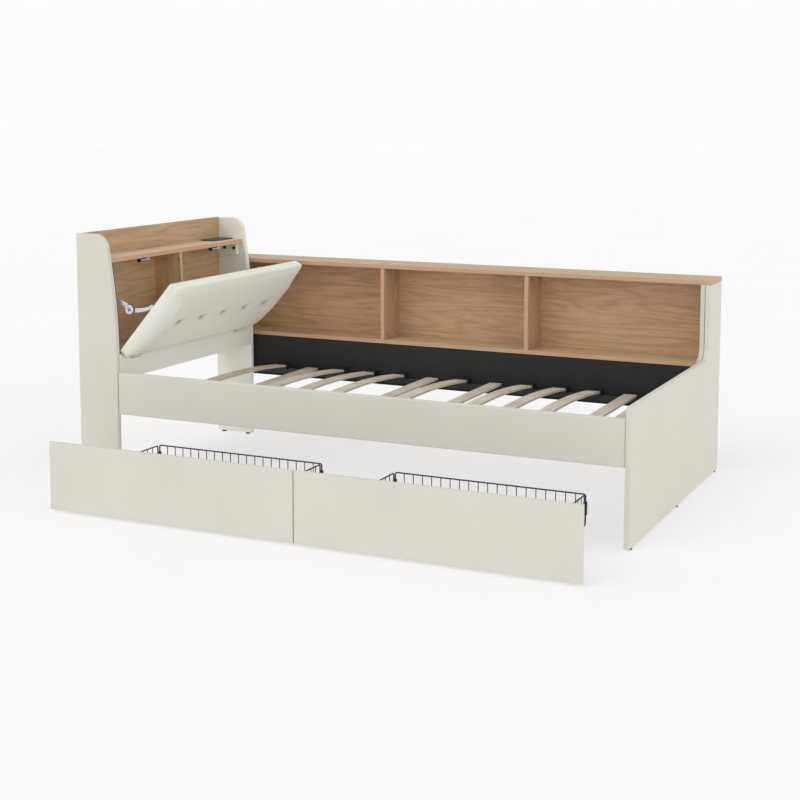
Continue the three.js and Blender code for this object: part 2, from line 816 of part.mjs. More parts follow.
function foldingStay(side, wall, inward, wallPin, flapPivot, elbowShares, bowShares) {
  const armSpan = layerSpan(wall, inward, 0);
  const linkSpan = layerSpan(wall, inward, 1);
  const flapPin = onFlap(flapPivot);
  const elbow = elbowPlace(wallPin, flapPin, elbowShares);
  piece(`${side}_stay_arm`, stayBar(
    wallPin, elbow, stayHubRadius, bowShares.arm, armSpan), chrome());
  piece(`${side}_stay_link`, stayBar(
    flapPin, elbow, stayHubRadius - stayThickness, bowShares.link, linkSpan), chrome());
  piece(`${side}_stay_bracket`, flapBracket(flapPivot, wall, inward), chrome(), flap);
}

foldingStay(
  'near', panelThickness, 1, nearWallPivot, nearFlapPivot, nearElbowShares, nearBowShares);
foldingStay('far', farInner, -1, farWallPivot, farFlapPivot, farElbowShares, farBowShares);

// Drawers: each group's origin is the lower left front corner of its space
const drawerWidth = (mattressLength - 3 * drawerGap) / 2;
const basketX = (drawerWidth - basketWidth) / 2;
const basketY = drawerThickness + seam;
const backY = basketY + basketDepth - rimRadius;

// Flat grid: an arched rim with a bottom wire, and upright wires between
function wireGrid(width, low, high) {
  const left = rimRadius;
  const right = width - rimRadius;
  const top = high - rimRadius;
  const arc = (cx, from) => Array.from({ length: cornerSteps + 1 }, (_, i) => {
    const angle = from - i * Math.PI / (2 * cornerSteps);
    return [cx + basketCorner * Math.cos(angle), 0, top - basketCorner + basketCorner * Math.sin(angle)];
  });
  const rim = [
    [left, 0, low], ...arc(left + basketCorner, Math.PI), ...arc(right - basketCorner, Math.PI / 2),
    [right, 0, low],
  ];
  const foot = low + wireRadius;
  const parts = [
    bentWire(rim, rimRadius), rod([left, 0, foot], [right, 0, foot], wireRadius, thinWireSides)];
  const gaps = Math.round((width - 2 * basketCorner) / wireSpacing);
  for (let i = 0; i <= gaps; i += 1) {
    const x = basketCorner + (width - 2 * basketCorner) * i / gaps;
    parts.push(rod([x, 0, foot], [x, 0, top], wireRadius, thinWireSides));
  }
  return parts;
}

const gridLow = basketFloor + rimRadius + seam;

function backGrid() {
  const parts = wireGrid(basketWidth, gridLow, basketRim);
  const height = (share) => basketFloor + share * (basketRim - basketFloor);
  for (const x of [0, basketWidth - clipWidth]) {
    parts.push(block(
      x, x + clipWidth, -clipThickness, clipThickness / 2, height(clipLowShare), height(clipHighShare)));
  }
  return join(...parts).translate(basketX, backY, 0);
}

function sideGrid(x) {
  const length = backY - rimRadius - cornerGap - basketY;
  return join(...wireGrid(length, gridLow, basketRim)).rotateZ(Math.PI / 2)
    .translate(x, basketY, 0);
}

// Castor fork: a top plate and two cheeks round the wheel
function castorFork(x, y) {
  const half = wheelWidth / 2 + forkGap;
  const outer = half + forkThickness;
  const low = wheelRadius - axleBore - 2 * forkThickness;
  const cheek = (side) => block(
    x + side * (half + forkThickness / 2) - forkThickness / 2,
    x + side * (half + forkThickness / 2) + forkThickness / 2,
    y - forkWidth / 2, y + forkWidth / 2, low, basketFloor - wireRadius);
  const plateLow = basketFloor - wireRadius - forkThickness;
  return [
    cheek(-1), cheek(1),
    block(x - outer, x + outer, y - forkWidth / 2, y + forkWidth / 2, plateLow, plateLow + 2 * forkThickness),
  ];
}

const axleYs = [basketY + axleInset, basketY + basketDepth - axleInset];
const castorXs = [basketX + castorInset, basketX + basketWidth - castorInset];

// Floor of the basket: a frame, long wires, cross wires over the axles, and the castor forks
function floorGrid() {
  const x0 = basketX + rimRadius;
  const x1 = basketX + basketWidth - rimRadius;
  const y0 = basketY + rimRadius;
  const z = basketFloor;
  const crossYs = [y0, ...axleYs, backY];
  const parts = crossYs.map((y) => rod([x0, y, z], [x1, y, z], rimRadius));
  const gaps = Math.round((x1 - x0) / floorSpacing);
  for (let i = 0; i <= gaps; i += 1) {
    const x = x0 + (x1 - x0) * i / gaps;
    const frame = i === 0 || i === gaps;
    parts.push(frame
      ? rod([x, y0, z], [x, backY, z], rimRadius)
      : rod([x, y0, z], [x, backY, z], wireRadius, thinWireSides));
  }
  for (const x of castorXs) {
    for (const y of axleYs) parts.push(...castorFork(x, y));
  }
  const bores = axleYs.map((y) => rod([x0, y, wheelRadius], [x1, y, wheelRadius], axleBore, pinSides));
  return cut(join(...parts), ...bores);
}

// Two wheels on one axle
function wheelSet(y) {
  const half = wheelWidth / 2;
  const side = (sign) => treadRadiusShares.map((share, i) =>
    new THREE.Vector2(wheelRadius * share, sign * half * treadWidthShares[i]));
  const tread = [...side(-1), ...side(1).reverse()];
  const wheels = castorXs.map((x) => new THREE.LatheGeometry(tread, wheelSides)
    .rotateZ(-Math.PI / 2).rotateX(Math.PI / 2).translate(x, y, wheelRadius));
  const reach = half + forkGap + 2 * forkThickness;
  const axle = rod(
    [castorXs[0] - reach, y, wheelRadius], [castorXs[1] + reach, y, wheelRadius], axleRadius, pinSides);
  return join(axle, ...wheels);
}

function drawer(side, x) {
  const group = new THREE.Group();
  group.position.set(x, openFront, 0);
  bed.add(group);
  piece(`${side}_drawer_front`, softBoardXZ(
    0, drawerWidth, 0, drawerThickness, drawerBottom, drawerTop), upholstery(), group);
  piece(`${side}_basket_back`, backGrid(), blackWire(), group);
  piece(`${side}_basket_left_side`, sideGrid(basketX + rimRadius), blackWire(), group);
  piece(`${side}_basket_right_side`, sideGrid(basketX + basketWidth - rimRadius), blackWire(), group);
  piece(`${side}_basket_floor`, floorGrid(), blackWire(), group);
  piece(`${side}_front_wheels`, wheelSet(axleYs[0]), blackPlastic(), group);
  piece(`${side}_rear_wheels`, wheelSet(axleYs[1]), blackPlastic(), group);
}

drawer('left', headboardDepth + drawerGap);
drawer('right', headboardDepth + 2 * drawerGap + drawerWidth);

export default daybed;
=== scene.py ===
# %% [markdown]
# # A storage daybed, dressed for its portrait
#
# The bed comes in from its construction model as a fixed frame: boards, slats, wire baskets and
# every hinge already stand where they belong, in metres. This lesson gives each board, slat and
# wire its real finish, upholsters the drop-down flap, adds the small fittings that a maker would
# screw on, and lights the bed like a catalogue picture.

# %% Load the frame
import json
import math
import bmesh
import bpy
from mathutils import Matrix, Vector


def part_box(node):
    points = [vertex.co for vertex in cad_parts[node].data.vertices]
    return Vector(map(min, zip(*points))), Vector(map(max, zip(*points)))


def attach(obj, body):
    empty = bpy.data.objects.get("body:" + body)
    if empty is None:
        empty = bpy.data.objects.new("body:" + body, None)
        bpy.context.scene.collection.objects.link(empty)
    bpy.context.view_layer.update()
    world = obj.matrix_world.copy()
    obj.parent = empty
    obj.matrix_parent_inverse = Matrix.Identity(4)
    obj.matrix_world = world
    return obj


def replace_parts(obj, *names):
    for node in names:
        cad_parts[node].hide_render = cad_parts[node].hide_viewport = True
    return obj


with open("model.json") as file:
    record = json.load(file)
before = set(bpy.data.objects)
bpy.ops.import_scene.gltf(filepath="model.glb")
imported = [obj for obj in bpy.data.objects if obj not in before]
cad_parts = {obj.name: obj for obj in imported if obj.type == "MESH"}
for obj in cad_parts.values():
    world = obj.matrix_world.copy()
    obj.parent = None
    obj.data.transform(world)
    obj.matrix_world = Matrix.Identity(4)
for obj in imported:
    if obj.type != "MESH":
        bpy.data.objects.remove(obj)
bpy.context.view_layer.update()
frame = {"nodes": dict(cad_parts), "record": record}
nodes = frame["nodes"]
joints = {joint["name"]: joint for joint in frame["record"]["behaviour"]["joints"]}
mm = 0.001

# %% [markdown]
# ## The camera comes first
#
# The picture was taken from the foot of the open side, standing height, with a short telephoto
# lens. A camera tipped down makes upright edges lean together, and a little vertical shift of the
# lens takes most of that lean away, as an architectural photographer would do. Place, turn and
# focal length were worked out from the bed's own edges in the picture.

# %% Camera
camera_data = bpy.data.cameras.new("camera")
camera_data.lens = 66.29
camera_data.sensor_width = 36
camera_data.shift_y = -0.15
camera = bpy.data.objects.new("camera", camera_data)
camera.location = (2.3237, -4.7424, 1.3729)
camera.rotation_euler = (math.pi / 2 - 0.1146, 0, 0.4421)
bpy.context.scene.collection.objects.link(camera)
bpy.context.scene.camera = camera
print("camera", [round(value, 3) for value in camera.location], camera_data.lens, "mm")

# %% [markdown]
# ## Two small helpers for every finish
#
# A finish is a little graph of nodes that ends in one shader. Colours are written as the hex
# values that a paint card would give, and one function turns them to the linear light that the
# shader works with. One more function adds a node with its settings and its links, so that a
# graph reads from top to bottom like a recipe.

# %% Colour and node helpers
def colour(code):
    """Linear colour of an sRGB hex value such as d6d3c8."""
    channels = [int(code[i:i + 2], 16) / 255 for i in (0, 2, 4)]
    linear = [c / 12.92 if c <= 0.04045 else ((c + 0.055) / 1.055) ** 2.4 for c in channels]
    return (*linear, 1)


def add(tree, kind, inputs=None, **settings):
    """Adds a node; an input is a value or the output of another node."""
    node = tree.nodes.new(kind)
    for name, value in settings.items():
        setattr(node, name, value)
    for name, value in (inputs or {}).items():
        if isinstance(value, bpy.types.NodeSocket):
            tree.links.new(value, node.inputs[name])
        else:
            node.inputs[name].default_value = value
    return node


def start_finish(name):
    """New material with a shader in it, and the place on the surface as a vector."""
    material = bpy.data.materials.new(name)
    material.use_nodes = True
    tree = material.node_tree
    tree.nodes.clear()
    shader = add(tree, "ShaderNodeBsdfPrincipled")
    add(tree, "ShaderNodeOutputMaterial", {"Surface": shader.outputs[0]})
    place = add(tree, "ShaderNodeTexCoord").outputs["Object"]
    return material, tree, shader, place


def per_mm(size):
    """Scale of a pattern whose features are that many millimetres apart."""
    return 1000 / size


print("one hex colour:", [round(c, 3) for c in colour("d6d3c8")])

# %% [markdown]
# ## Coated leather cloth
#
# The panels and the flap are covered in a matt cream leather cloth: a woven backing with a soft
# polyurethane coat, pressed with a fine pebble grain. It is glued over thin foam, so broad soft
# ripples run under the grain. The real pebbles are about 0.7 mm across, too fine to show from
# across a room, so they are drawn at 1.6 mm, and a slow drift in tone keeps a large panel from
# looking printed. Where a thread pulls the cloth into a fold, an attribute on the piece darkens
# the colour as painted shade.

# %% Leather cloth
def leather_cloth(name, light, shade):
    """Matt embossed cloth that drifts between two tones of one colour."""
    material, tree, shader, place = start_finish(name)
    drift = add(tree, "ShaderNodeTexNoise", {
        "Vector": place, "Scale": per_mm(260), "Detail": 2.0, "Roughness": 0.5})
    tone = add(tree, "ShaderNodeMix", {
        0: drift.outputs["Fac"], 6: colour(shade), 7: colour(light)}, data_type="RGBA")
    pebble = add(tree, "ShaderNodeTexVoronoi", {
        "Vector": place, "Scale": per_mm(1.6), "Randomness": 0.9}, feature="SMOOTH_F1")
    ripple = add(tree, "ShaderNodeTexNoise", {
        "Vector": place, "Scale": per_mm(38), "Detail": 1.0, "Distortion": 0.4})
    crease = add(tree, "ShaderNodeTexNoise", {
        "Vector": place, "Scale": per_mm(7), "Detail": 3.0, "Roughness": 0.6})
    gloss = add(tree, "ShaderNodeMapRange", {
        "Value": crease.outputs["Fac"], "To Min": 0.5, "To Max": 0.66})
    soft = add(tree, "ShaderNodeBump", {
        "Height": ripple.outputs["Fac"], "Strength": 0.5, "Distance": 0.9 * mm})
    fine = add(tree, "ShaderNodeBump", {
        "Height": crease.outputs["Fac"], "Normal": soft.outputs["Normal"],
        "Strength": 0.35, "Distance": 0.22 * mm})
    grain = add(tree, "ShaderNodeBump", {
        "Height": pebble.outputs["Distance"], "Normal": fine.outputs["Normal"],
        "Strength": 0.4, "Distance": 0.12 * mm}, invert=True)
    # Painted shade: an attribute darkens the colour towards 8d897c in the tuft dents.
    fold = add(tree, "ShaderNodeAttribute", attribute_name="painted_fold_shade")
    painted_fold_shade_mix = add(tree, "ShaderNodeMix", {
        0: fold.outputs["Fac"], 6: tone.outputs[2], 7: colour("8d897c")}, data_type="RGBA")
    tree.links.new(painted_fold_shade_mix.outputs[2], shader.inputs["Base Color"])
    tree.links.new(gloss.outputs[0], shader.inputs["Roughness"])
    tree.links.new(grain.outputs["Normal"], shader.inputs["Normal"])
    shader.inputs["IOR"].default_value = 1.5
    return material


cream_leather_cloth = leather_cloth("cream_leather_cloth_embossed", "dad7cc", "d2cec2")
# A lighter copy of the same cloth, which is painted light for the far panel, the lower rail and the
# flap that face away from the lamps.
painted_light_leather_cloth = leather_cloth("cream_leather_cloth_painted_lighter", "eaeae1", "e5e4da")
print("finish", cream_leather_cloth.name)

# %% [markdown]
# ## Oak-print melamine board
#
# The shelves are chipboard faced with oak-print melamine: a flat-sawn oak figure, which is a set
# of long nested arches, over fine pores. Contour lines of a noise that is stretched along the
# board look just like those arches, so a sine of such a noise draws them. Pores are short dark
# dashes, 1 mm apart. A board has its grain along one axis and its broad faces along another, and
# everywhere else it wears a thin edge band in a warmer tone. Each tone is a set of a light ground,
# a dark figure and the brown between them. The open top shelf of the headboard gets a lighter set,
# which is painted light, and the back board, the left end and the dividers get a browner set,
# which is painted shade. The bookcase top and shelf get a paler set.

# %% Melamine board
GRAIN_TURN = {"x": (0, 0, 0), "y": (0, 0, -math.pi / 2), "z": (0, math.pi / 2, 0)}
FACE_WAY = {"x": (1, 0, 0), "y": (0, 1, 0), "z": (0, 0, 1)}
warm_oak = ("d3b189", "a07a54", "b8936a")
pale_oak = ("cdb493", "9d7d5b", "b49772")
# Painted shade: a browner set for the back board, the left end and the dividers.
shaded_oak = ("c5a680", "95724f", "ab8963")
# Painted light: a lighter set for the open top shelf of the headboard.
painted_light_oak = ("e0cdb2", "b59a7a", "c9b294")
oak_band, cream_band = ("d1ac89", "ba926e"), ("d4d1c6", "cbc8bc")


def melamine_board(grain, face, tones=warm_oak, edge=oak_band):
    """Oak print with its grain along one axis and its broad faces across another."""
    light, dark, middle = tones
    material, tree, shader, place = start_finish(f"oak_melamine_grain_{grain}_face_{face}")
    along = add(tree, "ShaderNodeMapping", {"Vector": place, "Rotation": GRAIN_TURN[grain]})
    arches = add(tree, "ShaderNodeMapping", {"Vector": along.outputs[0], "Scale": (0.10, 1, 1)})
    dashes = add(tree, "ShaderNodeMapping", {"Vector": along.outputs[0], "Scale": (0.022, 1, 1)})
    field = add(tree, "ShaderNodeTexNoise", {
        "Vector": arches.outputs[0], "Scale": per_mm(130), "Detail": 2.5, "Roughness": 0.42,
        "Distortion": 0.25})
    phase = add(tree, "ShaderNodeMath", {0: field.outputs["Fac"], 1: 105.0}, operation="MULTIPLY")
    ring = add(tree, "ShaderNodeMath", {0: phase.outputs[0]}, operation="SINE")
    arch = add(tree, "ShaderNodeMapRange", {
        "Value": ring.outputs[0], "From Min": -0.2, "From Max": 1.0, "To Min": 0.0, "To Max": 0.75})
    streak = add(tree, "ShaderNodeTexNoise", {
        "Vector": dashes.outputs[0], "Scale": per_mm(6), "Detail": 4.0, "Roughness": 0.6})
    pore = add(tree, "ShaderNodeTexNoise", {
        "Vector": dashes.outputs[0], "Scale": per_mm(1.1), "Detail": 1.0})
    pore_mark = add(tree, "ShaderNodeMapRange", {
        "Value": pore.outputs["Fac"], "From Min": 0.56, "From Max": 0.72, "To Max": 0.55})
    blend = add(tree, "ShaderNodeMath", {
        0: arch.outputs[0], 1: streak.outputs["Fac"]}, operation="MULTIPLY")
    body = add(tree, "ShaderNodeMix", {
        0: blend.outputs[0], 6: colour(light), 7: colour(dark)}, data_type="RGBA")
    board = add(tree, "ShaderNodeMapRange", {
        "Value": streak.outputs["Fac"], "From Min": 0.35, "From Max": 0.7, "To Max": 0.55})
    streaked = add(tree, "ShaderNodeMix", {
        0: board.outputs[0], 6: body.outputs[2], 7: colour(middle)}, data_type="RGBA")
    porous = add(tree, "ShaderNodeMix", {
        0: pore_mark.outputs[0], 6: streaked.outputs[2], 7: colour("8f6c4a")}, data_type="RGBA")
    band = add(tree, "ShaderNodeMix", {
        0: streak.outputs["Fac"], 6: colour(edge[0]), 7: colour(edge[1])}, data_type="RGBA")
    facing = add(tree, "ShaderNodeTexCoord").outputs["Normal"]
    lean = add(tree, "ShaderNodeVectorMath", {
        0: facing, 1: FACE_WAY[face]}, operation="DOT_PRODUCT")
    flat = add(tree, "ShaderNodeMath", {0: lean.outputs["Value"]}, operation="ABSOLUTE")
    is_face = add(tree, "ShaderNodeMath", {0: flat.outputs[0], 1: 0.7}, operation="GREATER_THAN")
    final = add(tree, "ShaderNodeMix", {
        0: is_face.outputs[0], 6: band.outputs[2], 7: porous.outputs[2]}, data_type="RGBA")
    relief = add(tree, "ShaderNodeBump", {
        "Height": pore.outputs["Fac"], "Strength": 0.3, "Distance": 0.08 * mm})
    gloss = add(tree, "ShaderNodeMapRange", {
        "Value": streak.outputs["Fac"], "To Min": 0.44, "To Max": 0.58})
    tree.links.new(final.outputs[2], shader.inputs["Base Color"])
    tree.links.new(gloss.outputs[0], shader.inputs["Roughness"])
    tree.links.new(relief.outputs["Normal"], shader.inputs["Normal"])
    return material


def dress(material, *names):
    """Gives a CAD piece its finish."""
    for name in names:
        nodes[name].material_slots[0].material = material
    print(material.name, "on", len(names), "pieces")


dress(melamine_board("y", "x", shaded_oak), "headboard_back_board")
dress(melamine_board("y", "z", painted_light_oak), "headboard_top_shelf")
dress(melamine_board("y", "z"), "headboard_floor_shelf")
dress(melamine_board("z", "y", shaded_oak), "headboard_divider")
dress(melamine_board("x", "z", pale_oak), "bookcase_top", "bookcase_shelf")
dress(melamine_board("x", "y"), "bookcase_back_panel")
dress(melamine_board("z", "x", shaded_oak), "bookcase_left_end",
      "bookcase_left_divider", "bookcase_right_divider")
dress(melamine_board("z", "x", edge=cream_band), "bookcase_right_end")

# %% [markdown]
# ## Slats of pressed veneer
#
# Sprung slats are thin layers of birch, glued in a curved press and wrapped in grey paper-thin
# veneer. Their broad faces show a faint long grain, and their edges wear one plain darker tone,
# so the finish tells faces from edges by the way that the surface looks.

# %% Slats
def pressed_veneer():
    material, tree, shader, place = start_finish("birch_veneer_pressed_grey")
    along = add(tree, "ShaderNodeMapping", {"Vector": place, "Scale": (1, 0.03, 1)})
    streak = add(tree, "ShaderNodeTexNoise", {
        "Vector": along.outputs[0], "Scale": per_mm(5), "Detail": 4.0, "Roughness": 0.6})
    cloudy = add(tree, "ShaderNodeTexNoise", {"Vector": place, "Scale": per_mm(90), "Detail": 1.0})
    mix = add(tree, "ShaderNodeMath", {
        0: streak.outputs["Fac"], 1: cloudy.outputs["Fac"]}, operation="MULTIPLY")
    reach = add(tree, "ShaderNodeMapRange", {
        "Value": mix.outputs[0], "From Min": 0.12, "From Max": 0.38})
    face = add(tree, "ShaderNodeMix", {
        0: reach.outputs[0], 6: colour("c5baab"), 7: colour("dbd4c9")}, data_type="RGBA")
    facing = add(tree, "ShaderNodeTexCoord").outputs["Normal"]
    lean = add(tree, "ShaderNodeVectorMath", {0: facing, 1: (0, 0, 1)}, operation="DOT_PRODUCT")
    flat = add(tree, "ShaderNodeMath", {0: lean.outputs["Value"]}, operation="ABSOLUTE")
    is_face = add(tree, "ShaderNodeMath", {0: flat.outputs[0], 1: 0.7}, operation="GREATER_THAN")
    final = add(tree, "ShaderNodeMix", {
        0: is_face.outputs[0], 6: colour("b7a895"), 7: face.outputs[2]}, data_type="RGBA")
    relief = add(tree, "ShaderNodeBump", {
        "Height": streak.outputs["Fac"], "Strength": 0.3, "Distance": 0.1 * mm})
    tree.links.new(final.outputs[2], shader.inputs["Base Color"])
    tree.links.new(relief.outputs["Normal"], shader.inputs["Normal"])
    shader.inputs["Roughness"].default_value = 0.55
    return material


dress(pressed_veneer(), *[name for name in nodes if "_slat_" in name and "ledge" not in name])

# %% [markdown]
# ## Black cloth, plastic, glass and powder coat
#
# Behind the slats runs a board wrapped in black woven polyester. Slat holders and castors are
# moulded polypropylene with a spark-eroded skin. The charging pad is dark glass with a matt etch,
# and the basket wires are steel under black powder, which bakes to a faint orange peel. The stays
# are die-cast zinc with a satin chrome. Each gets the pattern that its making leaves, at its real
# size where that can show. The threads of the weave are drawn 3 mm apart, about four times as
# coarse as real ones, which would vanish at this distance.

# %% Dark finishes
def black_woven_cloth():
    material, tree, shader, place = start_finish("polyester_cloth_woven_black")
    warp = add(tree, "ShaderNodeTexWave", {
        "Vector": place, "Scale": per_mm(9.6), "Distortion": 0.6}, bands_direction="X")
    weft = add(tree, "ShaderNodeTexWave", {
        "Vector": place, "Scale": per_mm(9.6), "Distortion": 0.6}, bands_direction="Z")
    thread = add(tree, "ShaderNodeMath", {
        0: warp.outputs["Fac"], 1: weft.outputs["Fac"]}, operation="MULTIPLY")
    dust = add(tree, "ShaderNodeTexNoise", {"Vector": place, "Scale": per_mm(60), "Detail": 3.0})
    tone = add(tree, "ShaderNodeMix", {
        0: dust.outputs["Fac"], 6: colour("1b1b1c"), 7: colour("272727")}, data_type="RGBA")
    relief = add(tree, "ShaderNodeBump", {
        "Height": thread.outputs[0], "Strength": 0.5, "Distance": 0.2 * mm})
    tree.links.new(tone.outputs[2], shader.inputs["Base Color"])
    tree.links.new(relief.outputs["Normal"], shader.inputs["Normal"])
    shader.inputs["Roughness"].default_value = 0.9
    shader.inputs["Sheen Weight"].default_value = 0.15
    return material


def speckled(name, light, dark, grit, roughness, metallic=0.0, depth=0.1):
    """Plain material whose skin has a fine speckle of that size in millimetres."""
    material, tree, shader, place = start_finish(name)
    speck = add(tree, "ShaderNodeTexNoise", {
        "Vector": place, "Scale": per_mm(grit), "Detail": 2.0, "Roughness": 0.6})
    broad = add(tree, "ShaderNodeTexNoise", {"Vector": place, "Scale": per_mm(grit * 30)})
    tone = add(tree, "ShaderNodeMix", {
        0: broad.outputs["Fac"], 6: colour(dark), 7: colour(light)}, data_type="RGBA")
    gloss = add(tree, "ShaderNodeMapRange", {
        "Value": broad.outputs["Fac"], "To Min": roughness - 0.05, "To Max": roughness + 0.05})
    relief = add(tree, "ShaderNodeBump", {
        "Height": speck.outputs["Fac"], "Strength": 0.4, "Distance": depth * mm})
    tree.links.new(tone.outputs[2], shader.inputs["Base Color"])
    tree.links.new(gloss.outputs[0], shader.inputs["Roughness"])
    tree.links.new(relief.outputs["Normal"], shader.inputs["Normal"])
    shader.inputs["Metallic"].default_value = metallic
    return material


moulded_polypropylene = speckled("polypropylene_moulded_black", "232325", "18181a", 1.2, 0.48)
powder_coated_steel = speckled(
    "steel_powder_coated_black", "333334", "28282a", 1.5, 0.42, 0.0, 0.06)
dark_glass = speckled("glass_toughened_black", "3d3835", "332f2d", 4, 0.36, 0.0, 0.004)
chromed_zinc = speckled("zinc_die_cast_chromed", "dde0e4", "ced2d6", 6, 0.38, 0.8, 0.01)
zinc_screw = speckled("steel_screw_zinc_plated", "c4c6c8", "b2b4b6", 2, 0.3, 1.0, 0.02)
grey_cap = speckled("polyethylene_cap_grey", "8f8a82", "7f7a72", 1, 0.5)
black_lining = speckled("rubber_edge_strip_black", "22262d", "1a1d22", 1, 0.6)
cream_enamel = speckled("steel_powder_coated_cream", "e0ddd2", "d8d5ca", 1.5, 0.45, 0.0, 0.03)

dress(black_woven_cloth(), "back_rail")
dress(moulded_polypropylene, "front_slat_ledge", "back_slat_ledge", "flap_near_catch",
      "flap_far_catch", *[name for name in nodes if name.endswith("_wheels")])
dress(powder_coated_steel, *[name for name in nodes if "_basket_" in name])
dress(dark_glass, "charging_pad")
dress(chromed_zinc, *[name for name in nodes if "_stay_" in name])
dress(cream_enamel, "flap_near_hinge_leaf", "flap_far_hinge_leaf")
dress(cream_leather_cloth, "headboard_near_side", "front_rail", "footboard", "bookcase_outer_end",
      "left_drawer_front", "right_drawer_front")
dress(painted_light_leather_cloth, "headboard_far_side", "headboard_lower_rail", "flap_board")

# %% [markdown]
# ## From a bmesh to a piece
#
# New pieces are shaped with mesh operators and then rounded off by one function: it makes the
# object, gives it its finish, smooths it except at sharp folds, and lets it ride on the body of
# the bed that carries it.

# %% Making a piece
def make_piece(name, shape, material, body):
    """Object from a finished bmesh; it sits at the origin, its place is in its mesh."""
    mesh = bpy.data.meshes.new(name)
    shape.to_mesh(mesh)
    shape.free()
    mesh.materials.append(material)
    mesh.shade_smooth()
    mesh.set_sharp_from_angle(angle=math.radians(40))
    piece = bpy.data.objects.new(name, mesh)
    bpy.context.scene.collection.objects.link(piece)
    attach(piece, body)
    print(name, len(mesh.polygons), "faces,", mesh_size(mesh), "mm")
    return piece


def mesh_size(mesh):
    """Sides of the box round a mesh, in millimetres."""
    spans = [[vertex.co[i] for vertex in mesh.vertices] for i in range(3)]
    return [round((max(span) - min(span)) / mm, 1) for span in spans]


# %% [markdown]
# ## The padded flap
#
# The flap is a board with foam on its face, and the leather cloth is drawn round the edges of the
# board and stapled at its back. So one smooth skin shows from outside, thick in the middle and
# thin at its edges, pulled in by five sewn tufts in a row. It starts as a lens-shaped block a
# little smaller than the pad, with ends that run out round, full upper corners and a foot that is
# rolled under. The cloth solver blows it up like a cushion while its back and its tufts are held,
# which gives the soft swelling between the tufts that is hard to draw by hand.
# The pinches are pressed in at the end, because a remesh would wash out anything so narrow, and
# the room of the board is cut out of the back last of all.

# %% Where the flap stands
hinge = Vector(joints["flap_hinge"]["pos_m"])
flap_open = math.radians(41)
outward = Vector((math.cos(flap_open), 0, -math.sin(flap_open)))
upward = Vector((math.sin(flap_open), 0, math.cos(flap_open)))
flap_place = Matrix.Translation(hinge) @ Matrix((
    (outward.x, 0, upward.x, 0), (0, 1, 0, 0), (outward.z, 0, upward.z, 0), (0, 0, 0, 1)))
# Measured from the hinge: outward, then upward, then half the width.
board_back, board_front = -23.3 * mm, -8.3 * mm
board_low, board_high, board_half_width = 21.5 * mm, 361.5 * mm, 458.5 * mm
skin = 1.3 * mm
pad_low, pad_high, pad_half_width = board_low - skin, board_high + skin, board_half_width + skin
pad_middle = (pad_low + pad_high) / 2
board_middle = (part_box("flap_board")[0].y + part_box("flap_board")[1].y) / 2 - hinge.y
pad_back, pad_edge, pad_lean, pad_rise = board_back - 0.4 * mm, 8.5 * mm, 5.5 * mm, 32 * mm
end_round, corner_round, end_height = 48 * mm, 5 * mm, -7 * mm
pad_nose, pad_roll, roll_power = 19 * mm, 12 * mm, 12
bow_power, bow_fullness, block_cuts = 2.3, 0.78, 47
rail_reach, rail_clearance = -1.4 * mm, 17.8 * mm
tuft_spacing, tuft_shift, tuft_height = 155 * mm, -8 * mm, pad_middle + 13 * mm
tufts = [(i - 2) * tuft_spacing + tuft_shift for i in range(5)]
print("flap hinge at", [round(v, 4) for v in hinge])

# %% The block that will be blown up
def face_height(along):
    """How far the face stands out at a place from -1, the lower side, to 1, the upper side."""
    bow = (1 - abs(along) ** bow_power) ** bow_fullness
    return pad_edge + pad_lean * along + pad_rise * bow


def crown_block(inset):
    """Block with a bowed face that runs out round at both ends, rolled under at its foot."""
    shape = bmesh.new()
    bmesh.ops.create_cube(shape, size=2)
    bmesh.ops.subdivide_edges(shape, edges=shape.edges, cuts=block_cuts, use_grid_fill=True)
    for vertex in shape.verts:
        out, across, along = vertex.co
        aside = math.sin(across * math.pi / 2) * (pad_half_width - inset)
        reach = corner_round + (end_round - corner_round) * (1 - abs(along) ** 2.5)
        from_end = min(1, (pad_half_width - inset - abs(aside)) / reach)
        swell = (1 - (1 - from_end) ** 2) ** 0.5
        face = end_height + (face_height(min(max(along, -1), 1)) - end_height) * swell
        share = (out + 1) / 2
        roll = pad_roll * swell * share ** roll_power
        low = pad_low + inset + corner_round * (1 - swell) - roll
        high = pad_high - inset + pad_nose * swell * share
        vertex.co = (
            pad_back + share * (face - pad_back - inset),
            aside,
            low + (along + 1) / 2 * (high - low))
    return shape


def remeshed(shape, name, voxel):
    """The same form as one even net of small squares."""
    mesh = bpy.data.meshes.new(name)
    shape.to_mesh(mesh)
    shape.free()
    block = bpy.data.objects.new(name, mesh)
    bpy.context.scene.collection.objects.link(block)
    remesh = block.modifiers.new("remesh", "REMESH")
    remesh.mode = "VOXEL"
    remesh.voxel_size = voxel
    bake_modifiers(block)
    return block


def bake_modifiers(piece):
    """Replaces the mesh by what its modifiers show."""
    evaluated = piece.evaluated_get(bpy.context.evaluated_depsgraph_get())
    mesh = bpy.data.meshes.new_from_object(evaluated)
    piece.modifiers.clear()
    piece.data = mesh


pad = remeshed(crown_block(inset=1.0 * mm), "flap_pad", 5 * mm)
print("pad block has", len(pad.data.polygons), "faces")

# %% [markdown]
# The tufts are pressed in as soft dimples before the solver runs, and held there. Everything on
# the back of the pad is held too, where the board is. Twenty frames are enough for the air to
# fill the rest, and no point may drift more than a few millimetres from where it began.

# %% Blow up the pad
staple_band, thread_radius, thread_hold = 3 * mm, 9 * mm, 0.6
blow_frames = 20
dimple_depth, dimple_radius = 5 * mm, 26 * mm


def tuft_dimple(y, z, depth, radius):
    """How far a point is pressed in by the tufts near it."""
    return sum(
        depth * math.exp(-((y - tuft) ** 2 + (z - tuft_height) ** 2) / radius ** 2)
        for tuft in tufts)


